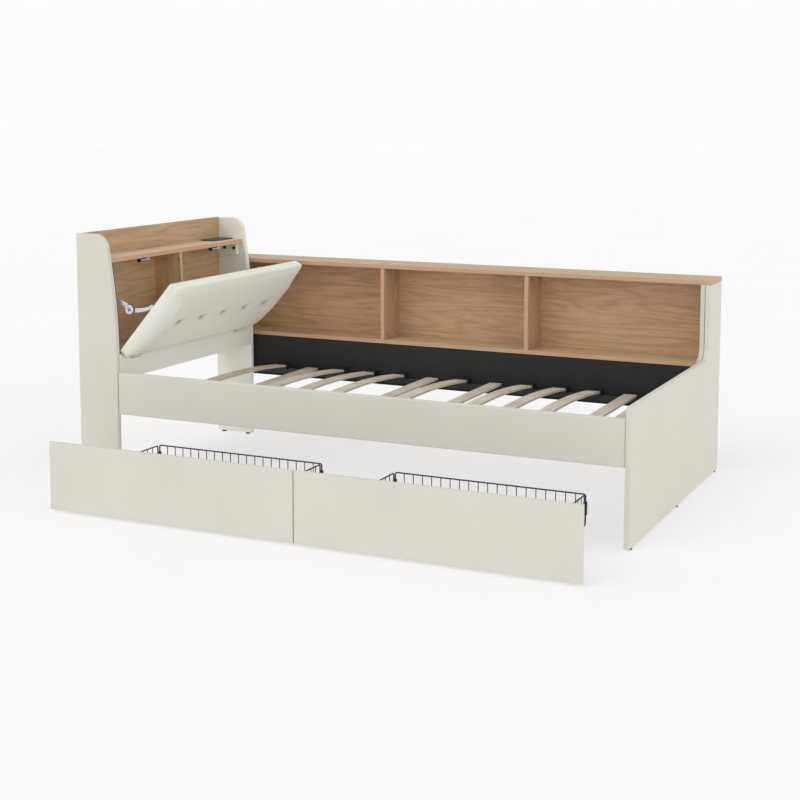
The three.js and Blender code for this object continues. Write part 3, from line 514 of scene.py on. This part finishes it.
def held_points(mesh):
    """Points that the thread or the staples keep where they are."""
    held = []
    for vertex in mesh.vertices:
        near_tuft = tuft_dimple(vertex.co.y, vertex.co.z, 1, thread_radius) > thread_hold
        stapled = vertex.co.x < board_front or vertex.co.z < pad_low + staple_band
        if stapled or (near_tuft and vertex.co.x > 0):
            held.append(vertex.index)
    return held


def blow_up(piece, pressure, furthest):
    """Cloth simulation with air inside, its movement capped, applied to the mesh."""
    before = [vertex.co.copy() for vertex in piece.data.vertices]
    group = piece.vertex_groups.new(name="held")
    group.add(held_points(piece.data), 1, "REPLACE")
    cloth = piece.modifiers.new("cloth", "CLOTH")
    cloth.settings.effector_weights.gravity = 0
    cloth.settings.use_pressure = True
    cloth.settings.uniform_pressure_force = pressure
    cloth.settings.vertex_group_mass = "held"
    cloth.settings.tension_stiffness = 8
    cloth.settings.bending_stiffness = 0.4
    cloth.settings.quality = 4
    cloth.point_cache.frame_start = 1
    cloth.point_cache.frame_end = blow_frames
    for step in range(1, blow_frames + 1):
        bpy.context.scene.frame_set(step)
    bake_modifiers(piece)
    bpy.context.scene.frame_set(1)
    for vertex, start in zip(piece.data.vertices, before):
        move = vertex.co - start
        if move.length > furthest:
            vertex.co = start + move.normalized() * furthest


for vertex in pad.data.vertices:
    if vertex.co.x > 0:
        vertex.co.x -= tuft_dimple(vertex.co.y, vertex.co.z, dimple_depth, dimple_radius)
blow_up(pad, pressure=4, furthest=5 * mm)
print("pad blown up to", mesh_size(pad.data), "mm")

# %% [markdown]
# One level of subdivision rounds the net, and then each tuft gets its pinch: a small round dent
# where the thread pulls the cloth through, with low folds that fan out from it. The underside is
# kept flat where the closed flap passes over the rail below it.

# %% Pinch the tufts
pinch_depth, pinch_radius = 5 * mm, 15 * mm
fold_depth, fold_radius, fold_width, folds_reach = 0.4 * mm, 26 * mm, 10 * mm, 60 * mm
fold_count, fold_shift = 4, 40


def pinch(y, z):
    """Depth of the dents and folds at a point of the pad's face."""
    depth = 0
    for tuft in tufts:
        dy, dz = y - tuft, z - tuft_height
        far = math.hypot(dy, dz)
        if far > folds_reach:
            continue
        depth += pinch_depth * math.exp(-(far / pinch_radius) ** 2)
        fan = math.cos(fold_count * math.atan2(dz, dy) + fold_shift * tuft)
        depth += fold_depth * fan * math.exp(-((far - fold_radius) / fold_width) ** 2)
    return depth


calm = pad.modifiers.new("calm", "SMOOTH")
calm.factor, calm.iterations = 0.5, 6
rounding = pad.modifiers.new("rounding", "SUBSURF")
rounding.levels = rounding.render_levels = 1
bake_modifiers(pad)
for vertex in pad.data.vertices:
    if vertex.co.x > 0:
        vertex.co.x -= pinch(vertex.co.y, vertex.co.z)
    elif vertex.co.x < rail_reach:
        vertex.co.z = max(vertex.co.z, rail_clearance)
print("tufts pinched at", [round(y / mm) for y in tufts])

# %% [markdown]
# The board fills a flat pocket in the back of the pad. A box that is 0.2 mm larger than the board
# cuts it out, and what is left beside it is the thin wall of cloth and foam that goes round the
# edges of the board.

# %% Cut the pocket for the board
pocket_shape = bmesh.new()
bmesh.ops.create_cube(pocket_shape, size=2)
room, past_back = 0.2 * mm, 9 * mm
for vertex in pocket_shape.verts:
    out, across, along = vertex.co
    vertex.co = (
        board_front + room if out > 0 else board_back - past_back,
        across * (board_half_width + room),
        pad_middle + along * ((board_high - board_low) / 2 + room))
pocket_mesh = bpy.data.meshes.new("pocket")
pocket_shape.to_mesh(pocket_mesh)
pocket_shape.free()
pocket = bpy.data.objects.new("pocket", pocket_mesh)
bpy.context.scene.collection.objects.link(pocket)
cutting = pad.modifiers.new("cutting", "BOOLEAN")
cutting.operation = "DIFFERENCE"
cutting.solver = "EXACT"
cutting.object = pocket
bake_modifiers(pad)
bpy.data.objects.remove(pocket)
print("pocket cut,", len(pad.data.polygons), "faces left")

# %% [markdown]
# Each point of the face is now told how deep in a fold it lies, so that the finish can darken it
# there as painted shade.
# Then the pad is tipped to where the flap stands, and takes the place of the plain cushion.

# %% Finish the pad
shade_drop = 2 * mm
# Painted shade for the tuft dents, set a little below each tuft.
painted_fold_shades = pad.data.attributes.new("painted_fold_shade", "FLOAT", "POINT")
for vertex, fold in zip(pad.data.vertices, painted_fold_shades.data):
    if vertex.co.x > 0:
        fold.value = min(1, tuft_dimple(vertex.co.y, vertex.co.z + shade_drop, 1, pinch_radius))
pad.data.transform(Matrix.Translation((0, board_middle, 0)))
pad.data.transform(flap_place)
pad.data.materials.clear()
pad.data.materials.append(painted_light_leather_cloth)
pad.data.shade_smooth()
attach(pad, "flap")
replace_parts(pad, "flap_cushion")
print("flap pad", len(pad.data.polygons), "faces")

# %% [markdown]
# ## Small fittings
#
# A real bed is held together by things that the eye takes in without counting: zinc screws in
# the flat slats, grey caps over the cam bolts of the shelves, feet under the panels, and a round
# cover on the elbow of a folding stay. Each kind is one small turned shape, repeated.

# %% Turned shapes
def turned(profile, sides):
    """Solid of a profile of (radius, height) points in millimetres, spun round the Z axis."""
    shape = bmesh.new()
    start = [shape.verts.new((radius * mm, 0, height * mm)) for radius, height in profile]
    edges = [shape.edges.new(pair) for pair in zip(start, start[1:])]
    bmesh.ops.spin(
        shape, geom=start + edges, cent=(0, 0, 0), axis=(0, 0, 1), angle=2 * math.pi,
        steps=sides, use_merge=True)
    bmesh.ops.remove_doubles(shape, verts=shape.verts, dist=0.01 * mm)
    bmesh.ops.recalc_face_normals(shape, faces=shape.faces)
    return shape


def spun_pieces(name, profile, places, axis, material, body, sides=24):
    """One object of equal turned shapes, each at its own place and facing along the axis."""
    shape = bmesh.new()
    turn = Vector((0, 0, 1)).rotation_difference(Vector(axis)).to_matrix().to_4x4()
    for place in places:
        single = turned(profile, sides)
        stand = Matrix.Translation(Vector(place)) @ turn
        bmesh.ops.transform(single, matrix=stand, verts=single.verts)
        mesh = bpy.data.meshes.new("single")
        single.to_mesh(mesh)
        single.free()
        shape.from_mesh(mesh)
        bpy.data.meshes.remove(mesh)
    make_piece(name, shape, material, body)


# %% Screws and cam caps
screw_head = [(0, -0.5), (4.2, -0.5), (4.2, 0.3), (3.2, 1.1), (1.3, 1.3), (1.0, 0.5), (0, 0.5)]
cap = [(0, -0.3), (6, -0.3), (6, 0.7), (5, 1.2), (0, 1.3)]
up, to_front, to_foot = (0, 0, 1), (0, -1, 0), (1, 0, 0)
screw_from_side, screw_from_end = 12 * mm, 9 * mm
cap_from_edge, cap_from_shelf = 34 * mm, 16 * mm
headboard_cap_insets, headboard_cap_drop = (79 * mm, 18 * mm), 27 * mm

slat_screws = []
for name in nodes:
    if name.startswith("flat_slat_"):
        low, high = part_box(name)
        for y in (low.y + screw_from_end, high.y - screw_from_end):
            slat_screws += [
                (low.x + screw_from_side, y, high.z), (high.x - screw_from_side, y, high.z)]
spun_pieces("slat_screws", screw_head, slat_screws, up, zinc_screw,
            "bed_frame", 12)

divider_caps = []
for name in ("bookcase_left_divider", "bookcase_right_divider"):
    low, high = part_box(name)
    for y in (low.y + cap_from_edge, high.y - cap_from_edge):
        divider_caps += [
            (high.x, y, low.z + cap_from_shelf), (high.x, y, high.z - cap_from_shelf)]
spun_pieces("bookcase_cam_caps", cap, divider_caps, to_foot, grey_cap,
            "bed_frame")

low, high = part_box("headboard_divider")
headboard_caps = [
    (high.x - inset, low.y, high.z - headboard_cap_drop) for inset in headboard_cap_insets]
spun_pieces("headboard_cam_caps", cap, headboard_caps, to_front, grey_cap,
            "bed_frame")

# %% [markdown]
# The glides are black plastic buttons that are nailed under each panel. The shelf hangs on two
# dark bolts with round heads at its far side, and one bright bolt holds the black rail to the
# headboard.

# %% Glides and bolts
glide_cover = [(0, 0.1), (9.2, 0.1), (9.8, 0.9), (9.8, 5.8), (0, 5.8)]
bolt_head = [(0, -1), (6.5, -1), (6.5, 2.2), (5, 3.4), (2.6, 3.4), (2.2, 1.6), (0, 1.6)]
glide_inset, panel_half = 26 * mm, 11 * mm

near_low, near_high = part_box("headboard_near_side")
far_low, far_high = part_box("headboard_far_side")
foot_low, foot_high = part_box("footboard")
glide_places = [
    (x, y, 0)
    for x in (near_low.x + glide_inset, near_high.x - glide_inset)
    for y in (near_low.y + panel_half, far_high.y - panel_half)]
glide_places += [
    (foot_low.x + panel_half, y, 0)
    for y in (foot_low.y + glide_inset, (foot_low.y + foot_high.y) / 2, foot_high.y - glide_inset)]
spun_pieces("floor_glides", glide_cover, glide_places, up, moulded_polypropylene,
            "bed_frame")

shelf_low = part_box("headboard_top_shelf")[0]
bolt_insets, bolt_drop = (56.5 * mm, 101.5 * mm), 21 * mm
shelf_bolts = [(near_low.x + inset, far_low.y, shelf_low.z - bolt_drop) for inset in bolt_insets]
spun_pieces("shelf_bolts", bolt_head, shelf_bolts, to_front, moulded_polypropylene,
            "bed_frame")

rail_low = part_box("back_rail")[0]
rail_bolt_inset, rail_bolt_height = 62 * mm, 14 * mm
rail_bolts = [(rail_low.x + rail_bolt_inset, rail_low.y, rail_low.z + rail_bolt_height)]
spun_pieces("rail_bolt", screw_head, rail_bolts, to_front, zinc_screw,
            "bed_frame", 16)

# %% [markdown]
# Each catch has a steel plate under it and one on its pole, and a small bright striker stands
# beyond its far end. Two helpers serve all such little blocks from here on: one sets a block at a
# place, and one gives edges the slight rounding that every real edge has.

# %% Catch plates
plate_margin, plate_half_length, plate_half_thick, plate_drop = 2 * mm, 20 * mm, 0.7 * mm, 0.4 * mm
pole_half_thick, pole_margin, pole_share, pole_proud = 1.2 * mm, 3 * mm, 0.24, 0.15 * mm
striker_half, striker_past, striker_drop = (7.5 * mm, 13 * mm, 5 * mm), 4 * mm, 6.5 * mm


def set_block(shape, half_size, middle):
    """Adds a block of that half size round a place."""
    block = bmesh.ops.create_cube(shape, size=2)["verts"]
    bmesh.ops.scale(shape, verts=block, vec=half_size)
    bmesh.ops.translate(shape, verts=block, vec=middle)


def soften(shape, edges, width, segments=2):
    """Small round bevel along those edges."""
    bmesh.ops.bevel(shape, geom=edges, offset=width, segments=segments, profile=0.5,
                    affect="EDGES", material=-1)


plates = bmesh.new()
for name in ("flap_near_catch", "flap_far_catch"):
    low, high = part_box(name)
    middle, half = (low + high) / 2, (high - low) / 2
    set_block(plates, (half.x - plate_margin, plate_half_length, plate_half_thick),
              (middle.x, middle.y, low.z - plate_drop))
    set_block(plates, (pole_half_thick, half.y - pole_margin, 2 * half.z * pole_share),
              (high.x - pole_half_thick + pole_proud, middle.y, middle.z))
    set_block(plates, striker_half, (middle.x, high.y + striker_past, high.z - striker_drop))
soften(plates, plates.edges, 0.6 * mm)
make_piece("catch_plates", plates, zinc_screw, "bed_frame")

# %% [markdown]
# ## Blades of the near stay
#
# A folding stay is two pressed blades that meet at an elbow. The near one is open to view, and its
# blades are bowed and widen towards the elbow. Each starts as a strip of squares, whose corners
# are moved to both sides of a smooth bow through a few knots. The strip is extruded to the
# thickness of the sheet, and its rims are rounded as a press leaves them.

# %% Blades of the near stay
blade_edge, bow_steps, sharp_turn = 0.7 * mm, 4, 1.0


def stay_blade(node, body, places, widths):
    """Pressed blade along places in X and Z, as wide as it says at each of them."""
    low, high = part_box(node)
    shape = bmesh.new()
    bmesh.ops.create_grid(shape, x_segments=len(places) - 1, y_segments=1, size=1)
    for vertex in shape.verts:
        i = round((vertex.co.x + 1) / 2 * (len(places) - 1))
        before, after = Vector(places[max(i - 1, 0)]), Vector(places[min(i + 1, len(places) - 1)])
        way = (after - before).normalized()
        half = vertex.co.y * widths[i] / 2
        vertex.co = (places[i][0] - way.y * half, low.y, places[i][1] + way.x * half)
    thick = bmesh.ops.extrude_face_region(shape, geom=shape.faces)["geom"]
    moved = [item for item in thick if isinstance(item, bmesh.types.BMVert)]
    bmesh.ops.translate(shape, verts=moved, vec=(0, high.y - low.y, 0))
    bmesh.ops.recalc_face_normals(shape, faces=shape.faces)
    rims = [e for e in shape.edges if len(e.link_faces) == 2 and e.calc_face_angle() > sharp_turn]
    soften(shape, rims, blade_edge)
    piece = make_piece(node + "_blade", shape, chromed_zinc, body)
    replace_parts(piece, node)


def along_bow(stations, start, stop):
    """Smooth places between two pins; a station is how far along and how far aside, in shares."""
    start, stop = Vector(start), Vector(stop)
    way = stop - start
    side = Vector((-way.y, way.x))
    knots = [start + way * along + side * aside for along, aside in stations]
    places = []
    for i in range(len(knots) - 1):
        a, b = knots[max(i - 1, 0)], knots[i]
        c, d = knots[i + 1], knots[min(i + 2, len(knots) - 1)]
        for step in range(bow_steps):
            t = step / bow_steps
            places.append(tuple(
                b + (c - a) * t / 2 + (2 * a - 5 * b + 4 * c - d) * t * t / 2
                + (3 * b - a - 3 * c + d) * t ** 3 / 2))
    return places + [tuple(knots[-1])]


hub_radius = 17 * mm
arm_pin, link_pin = [joints[name]["pos_m"] for name in ("near_arm_pivot", "near_link_pivot")]
arm_low, arm_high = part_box("near_stay_arm")
elbow = (arm_high.x - hub_radius, arm_low.z + hub_radius)
arm_bow = [(-0.08, -0.05), (0.12, -0.16), (0.28, -0.2), (0.45, -0.13), (0.64, -0.05),
           (0.82, -0.01), (1.06, 0)]
link_bow = [(-0.08, -0.02), (0.12, 0.03), (0.35, 0.06), (0.6, 0.07), (0.82, 0.05), (1, 0)]
arm_places = along_bow(arm_bow, (arm_pin[0], arm_pin[2]), elbow)
link_places = along_bow(link_bow, (link_pin[0], link_pin[2]), elbow)
arm_slim, arm_gain, link_slim, link_gain = 13 * mm, 10 * mm, 11 * mm, 7 * mm
arm_widths = [arm_slim + arm_gain * (i / len(arm_places)) ** 1.5 for i in range(len(arm_places))]
link_widths = [link_slim + link_gain * i / len(link_places) for i in range(len(link_places))]
stay_blade("near_stay_arm", "near_arm", arm_places, arm_widths)
stay_blade("near_stay_link", "near_link", link_places, link_widths)

# %% [markdown]
# ## Elbow of the near stay
#
# The stay folds at an elbow that is a disc brake: a chromed cup with a raised rim and a cross
# slot in its middle, which sets how slowly the flap comes down. The cup is turned from one
# profile and sits on a black ring, which is painted shadow for the gap round the cup. Two short
# black bars laid across each other are painted shade for the cross slot in its face. The cup
# sits on the side of the arm that faces the front of the bed.

# %% Elbow cover
brake_cup = [(0, -0.2), (16.6, -0.2), (17.4, 0.6), (17.4, 4.4), (16.4, 5.4), (14.2, 5.4),
             (13.4, 4.0), (9.4, 3.8), (8.6, 5.0), (0, 5.2)]
# Painted shadow: a black ring round the cup stands for the shadow in the gap at its rim.
shadow_ring_profile = [(0, -0.15), (19.2, -0.15), (19.2, 0.35), (0, 0.35)]
cross_bar, cross_turn, cross_proud = (8 * mm, 0.4 * mm, 1.5 * mm), 0.4, 5.3 * mm
centre = Vector((elbow[0], arm_low.y, elbow[1]))
spun_pieces("near_elbow_painted_shadow_ring", shadow_ring_profile, [centre], to_front, moulded_polypropylene,
            "near_arm", 40)
spun_pieces("near_elbow_cup", brake_cup, [centre], to_front, chromed_zinc,
            "near_arm", 40)
# Painted shade: black bars stand for the dark of the cross slot.
slot_shade_bars = bmesh.new()
for turn in (cross_turn, cross_turn + math.pi / 2):
    bar = bmesh.ops.create_cube(slot_shade_bars, size=2)["verts"]
    bmesh.ops.scale(slot_shade_bars, verts=bar, vec=cross_bar)
    bmesh.ops.rotate(slot_shade_bars, verts=bar, cent=(0, 0, 0), matrix=Matrix.Rotation(turn, 3, "Y"))
bmesh.ops.translate(slot_shade_bars, verts=slot_shade_bars.verts, vec=centre + Vector((0, -cross_proud, 0)))
soften(slot_shade_bars, slot_shade_bars.edges, 0.2 * mm, segments=1)
make_piece("near_elbow_painted_slot_shade", slot_shade_bars, moulded_polypropylene, "near_arm")

# %% [markdown]
# ## The edge strip
#
# A thin black rubber strip is stuck inside the near panel, along its leaning front edge, so that
# the flap closes without a rattle. It starts as a narrow strip of squares up the panel, and each
# row of corners is moved on to the leaning line, which is one curve with four control values for
# its height and four for its reach.

# %% Edge strip
strip_low, strip_high = hinge.z + 20 * mm, shelf_low.z - 2 * mm
strip_rows, strip_inset, strip_gap, strip_half = 24, 3.2 * mm, 0.1 * mm, (2 * mm, 1 * mm)
edge_foot, edge_top = 490 * mm, 865 * mm
edge_heights = (0, 0.453, 0.747, 1)
edge_reaches = (170 * mm, 171.02 * mm, 149.94 * mm, 137 * mm)
guesses, guess_share = 12, 0.7


def along_curve(t, pulls):
    """Place from 0 to 1 on a curve with four control values."""
    a, b, c, d = pulls
    return a * (1 - t) ** 3 + 3 * b * t * (1 - t) ** 2 + 3 * c * t * t * (1 - t) + d * t ** 3


def panel_edge(height):
    """How far the front edge of the panel stands from the wall at a height, in metres."""
    rise = max(0, (height - edge_foot) / (edge_top - edge_foot))
    t = rise
    for guess in range(guesses):
        t += (rise - along_curve(t, edge_heights)) * guess_share
    return along_curve(t, edge_reaches)


strip = bmesh.new()
bmesh.ops.create_cube(strip, size=2)
bmesh.ops.subdivide_edges(
    strip, edges=[e for e in strip.edges if abs(e.verts[0].co.z - e.verts[1].co.z) > 1],
    cuts=strip_rows)
panel_inner = near_low.y + 2 * panel_half
for vertex in strip.verts:
    height = strip_low + (vertex.co.z + 1) / 2 * (strip_high - strip_low)
    x = near_low.x + panel_edge(height) - strip_inset + vertex.co.x * strip_half[0]
    vertex.co = (x, panel_inner + strip_gap + (1 + vertex.co.y) * strip_half[1], height)
make_piece("near_edge_strip", strip, black_lining, "bed_frame")

# %% [markdown]
# ## Wire baskets
#
# A basket grid is one thick wire bent into a goal with round corners, a thin wire along its foot
# and thin uprights welded on between. The construction model draws the wires with few sides. Here
# each is a curve with a round section, which Blender sweeps by itself. Black clips snap over the
# back corners and hold the grids together.

# %% Basket grids
rim_wire, thin_wire, corner, corner_steps = 2.6 * mm, 1.6 * mm, 7 * mm, 8
rim_drop, upright_spacing = 4 * mm, 33 * mm
clip_half, clip_inset, clip_drop = (5 * mm, 7 * mm, 22 * mm), 5 * mm, 52 * mm
clip_rim, clip_groove, clip_edge = 2 * mm, 1.4 * mm, 0.8 * mm


def add_wire(curve, points, radius):
    """One wire through those places."""
    spline = curve.splines.new("POLY")
    spline.points.add(len(points) - 1)
    for spot, place in zip(spline.points, points):
        spot.co = (*place, 1)
        spot.radius = radius / rim_wire


def round_corner(middle, top, start):
    """Places round a quarter turn of the rim, as seen from the front, from that angle down."""
    angles = [start - i * math.pi / 2 / corner_steps for i in range(corner_steps + 1)]
    return [(middle + corner * math.cos(a), top - corner + corner * math.sin(a)) for a in angles]


def wire_grid(node, body):
    """Round-wire grid in the place of a flat CAD grid that stands in X and Z or in Y and Z."""
    low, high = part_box(node)
    runs_along_x = high.x - low.x > high.y - low.y
    start = low.x if runs_along_x else low.y
    stop = high.x if runs_along_x else high.y
    aside = high.y - rim_wire if runs_along_x else (low.x + high.x) / 2
    place = (lambda a, z: (a, aside, z)) if runs_along_x else (lambda a, z: (aside, a, z))
    left, right, top = start + rim_wire, stop - rim_wire, high.z - rim_wire - rim_drop
    rim = [(left, low.z), *round_corner(left + corner, top, math.pi),
           *round_corner(right - corner, top, math.pi / 2), (right, low.z)]
    curve = bpy.data.curves.new(node + "_wires", "CURVE")
    curve.dimensions = "3D"
    curve.bevel_depth = rim_wire
    curve.bevel_resolution = 2
    curve.use_fill_caps = True
    add_wire(curve, [place(*spot) for spot in rim], rim_wire)
    foot = low.z + thin_wire
    add_wire(curve, [place(left, foot), place(right, foot)], thin_wire)
    gaps = round((right - left) / upright_spacing)
    for i in range(1, gaps):
        a = left + (right - left) * i / gaps
        add_wire(curve, [place(a, foot), place(a, top)], thin_wire)
    drawn = bpy.data.objects.new(node + "_curve", curve)
    bpy.context.scene.collection.objects.link(drawn)
    evaluated = drawn.evaluated_get(bpy.context.evaluated_depsgraph_get())
    mesh = bpy.data.meshes.new_from_object(evaluated)
    bpy.data.objects.remove(drawn)
    shape = bmesh.new()
    shape.from_mesh(mesh)
    bpy.data.meshes.remove(mesh)
    bmesh.ops.recalc_face_normals(shape, faces=shape.faces)
    return make_piece(node + "_wires", shape, powder_coated_steel, body)


def corner_clips(node, body):
    """Snap-on clips that hold the back grid to the side grids, each with a groove down it."""
    low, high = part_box(node)
    shape = bmesh.new()
    for x in (low.x + rim_wire, high.x - rim_wire):
        set_block(shape, clip_half, (x, high.y - clip_inset, high.z - clip_drop))
    broad = [face for face in shape.faces if abs(face.normal.y) > 0.9]
    bmesh.ops.inset_individual(shape, faces=broad, thickness=clip_rim, depth=-clip_groove)
    soften(shape, shape.edges, clip_edge)
    make_piece(node + "_clips", shape, moulded_polypropylene, body)


for side in ("left", "right"):
    body = side + "_drawer"
    for part in ("left_side", "right_side", "back"):
        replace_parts(wire_grid(f"{side}_basket_{part}", body), f"{side}_basket_{part}")
    corner_clips(f"{side}_basket_back", body)

# %% [markdown]
# ## Floor and light
#
# The bed stands on a near-white studio floor that runs out of sight. Photographers light such a
# floor from below as well, so it glows a little by itself: its shadows stay pale, and the light
# that it sends up opens the underside of the tipped flap. A wide soft light from high up gives
# shape to the panels, a low one from the foot end and a weak frontal one open the shelves.

# %% Floor
floor_half, floor_glow = 40, 0.47
floor_shape = bmesh.new()
bmesh.ops.create_grid(floor_shape, x_segments=1, y_segments=1, size=floor_half)
floor_mesh = bpy.data.meshes.new("studio_floor")
floor_shape.to_mesh(floor_mesh)
floor_shape.free()
floor = bpy.data.objects.new("studio_floor", floor_mesh)
bpy.context.scene.collection.objects.link(floor)
floor_finish, tree, shader, place = start_finish("painted_studio_floor")
scuff = add(tree, "ShaderNodeTexNoise", {"Vector": place, "Scale": per_mm(900), "Detail": 2.0})
paint = add(tree, "ShaderNodeMix", {
    0: scuff.outputs["Fac"], 6: colour("b9b9ba"), 7: colour("bebebe")}, data_type="RGBA")
tree.links.new(paint.outputs[2], shader.inputs["Base Color"])
shader.inputs["Roughness"].default_value = 0.7
shader.inputs["Specular IOR Level"].default_value = 0.1
shader.inputs["Emission Color"].default_value = colour("ffffff")
shader.inputs["Emission Strength"].default_value = floor_glow
floor_mesh.materials.append(floor_finish)
print("floor", 2 * floor_half, "m wide")

# %% Lights and view
world = bpy.data.worlds.new("studio_sky")
world.use_nodes = True
sky = world.node_tree
sky.nodes.clear()
lit = add(sky, "ShaderNodeBackground", {"Color": (0.985, 0.99, 1, 1), "Strength": 0.76})
seen = add(sky, "ShaderNodeBackground", {"Color": (1, 1, 1, 1), "Strength": 0.975})
ray = add(sky, "ShaderNodeLightPath")
either = add(sky, "ShaderNodeMixShader", {
    0: ray.outputs["Is Camera Ray"], 1: lit.outputs[0], 2: seen.outputs[0]})
add(sky, "ShaderNodeOutputWorld", {"Surface": either.outputs[0]})
bpy.context.scene.world = world


def far_light(name, way, spread, strength, tint):
    """Light from far away in that direction; a wide spread makes its shadows soft."""
    light = bpy.data.lights.new(name, "SUN")
    light.angle = math.radians(spread)
    light.energy = strength
    light.color = tint
    lamp = bpy.data.objects.new(name, light)
    lamp.rotation_euler = Vector(way).to_track_quat("-Z", "Y").to_euler()
    bpy.context.scene.collection.objects.link(lamp)
    print(name, strength)


far_light("key_light", (0.45, 0.75, -1.1), 40, 0.58, (1, 0.99, 0.97))
far_light("foot_end_light", (-1, 0.3, -0.05), 60, 0.92, (1, 0.995, 0.98))
far_light("front_light", (0.1, 1, -0.22), 60, 0.16, (1, 0.995, 0.98))
bpy.context.scene.view_settings.view_transform = "Standard"
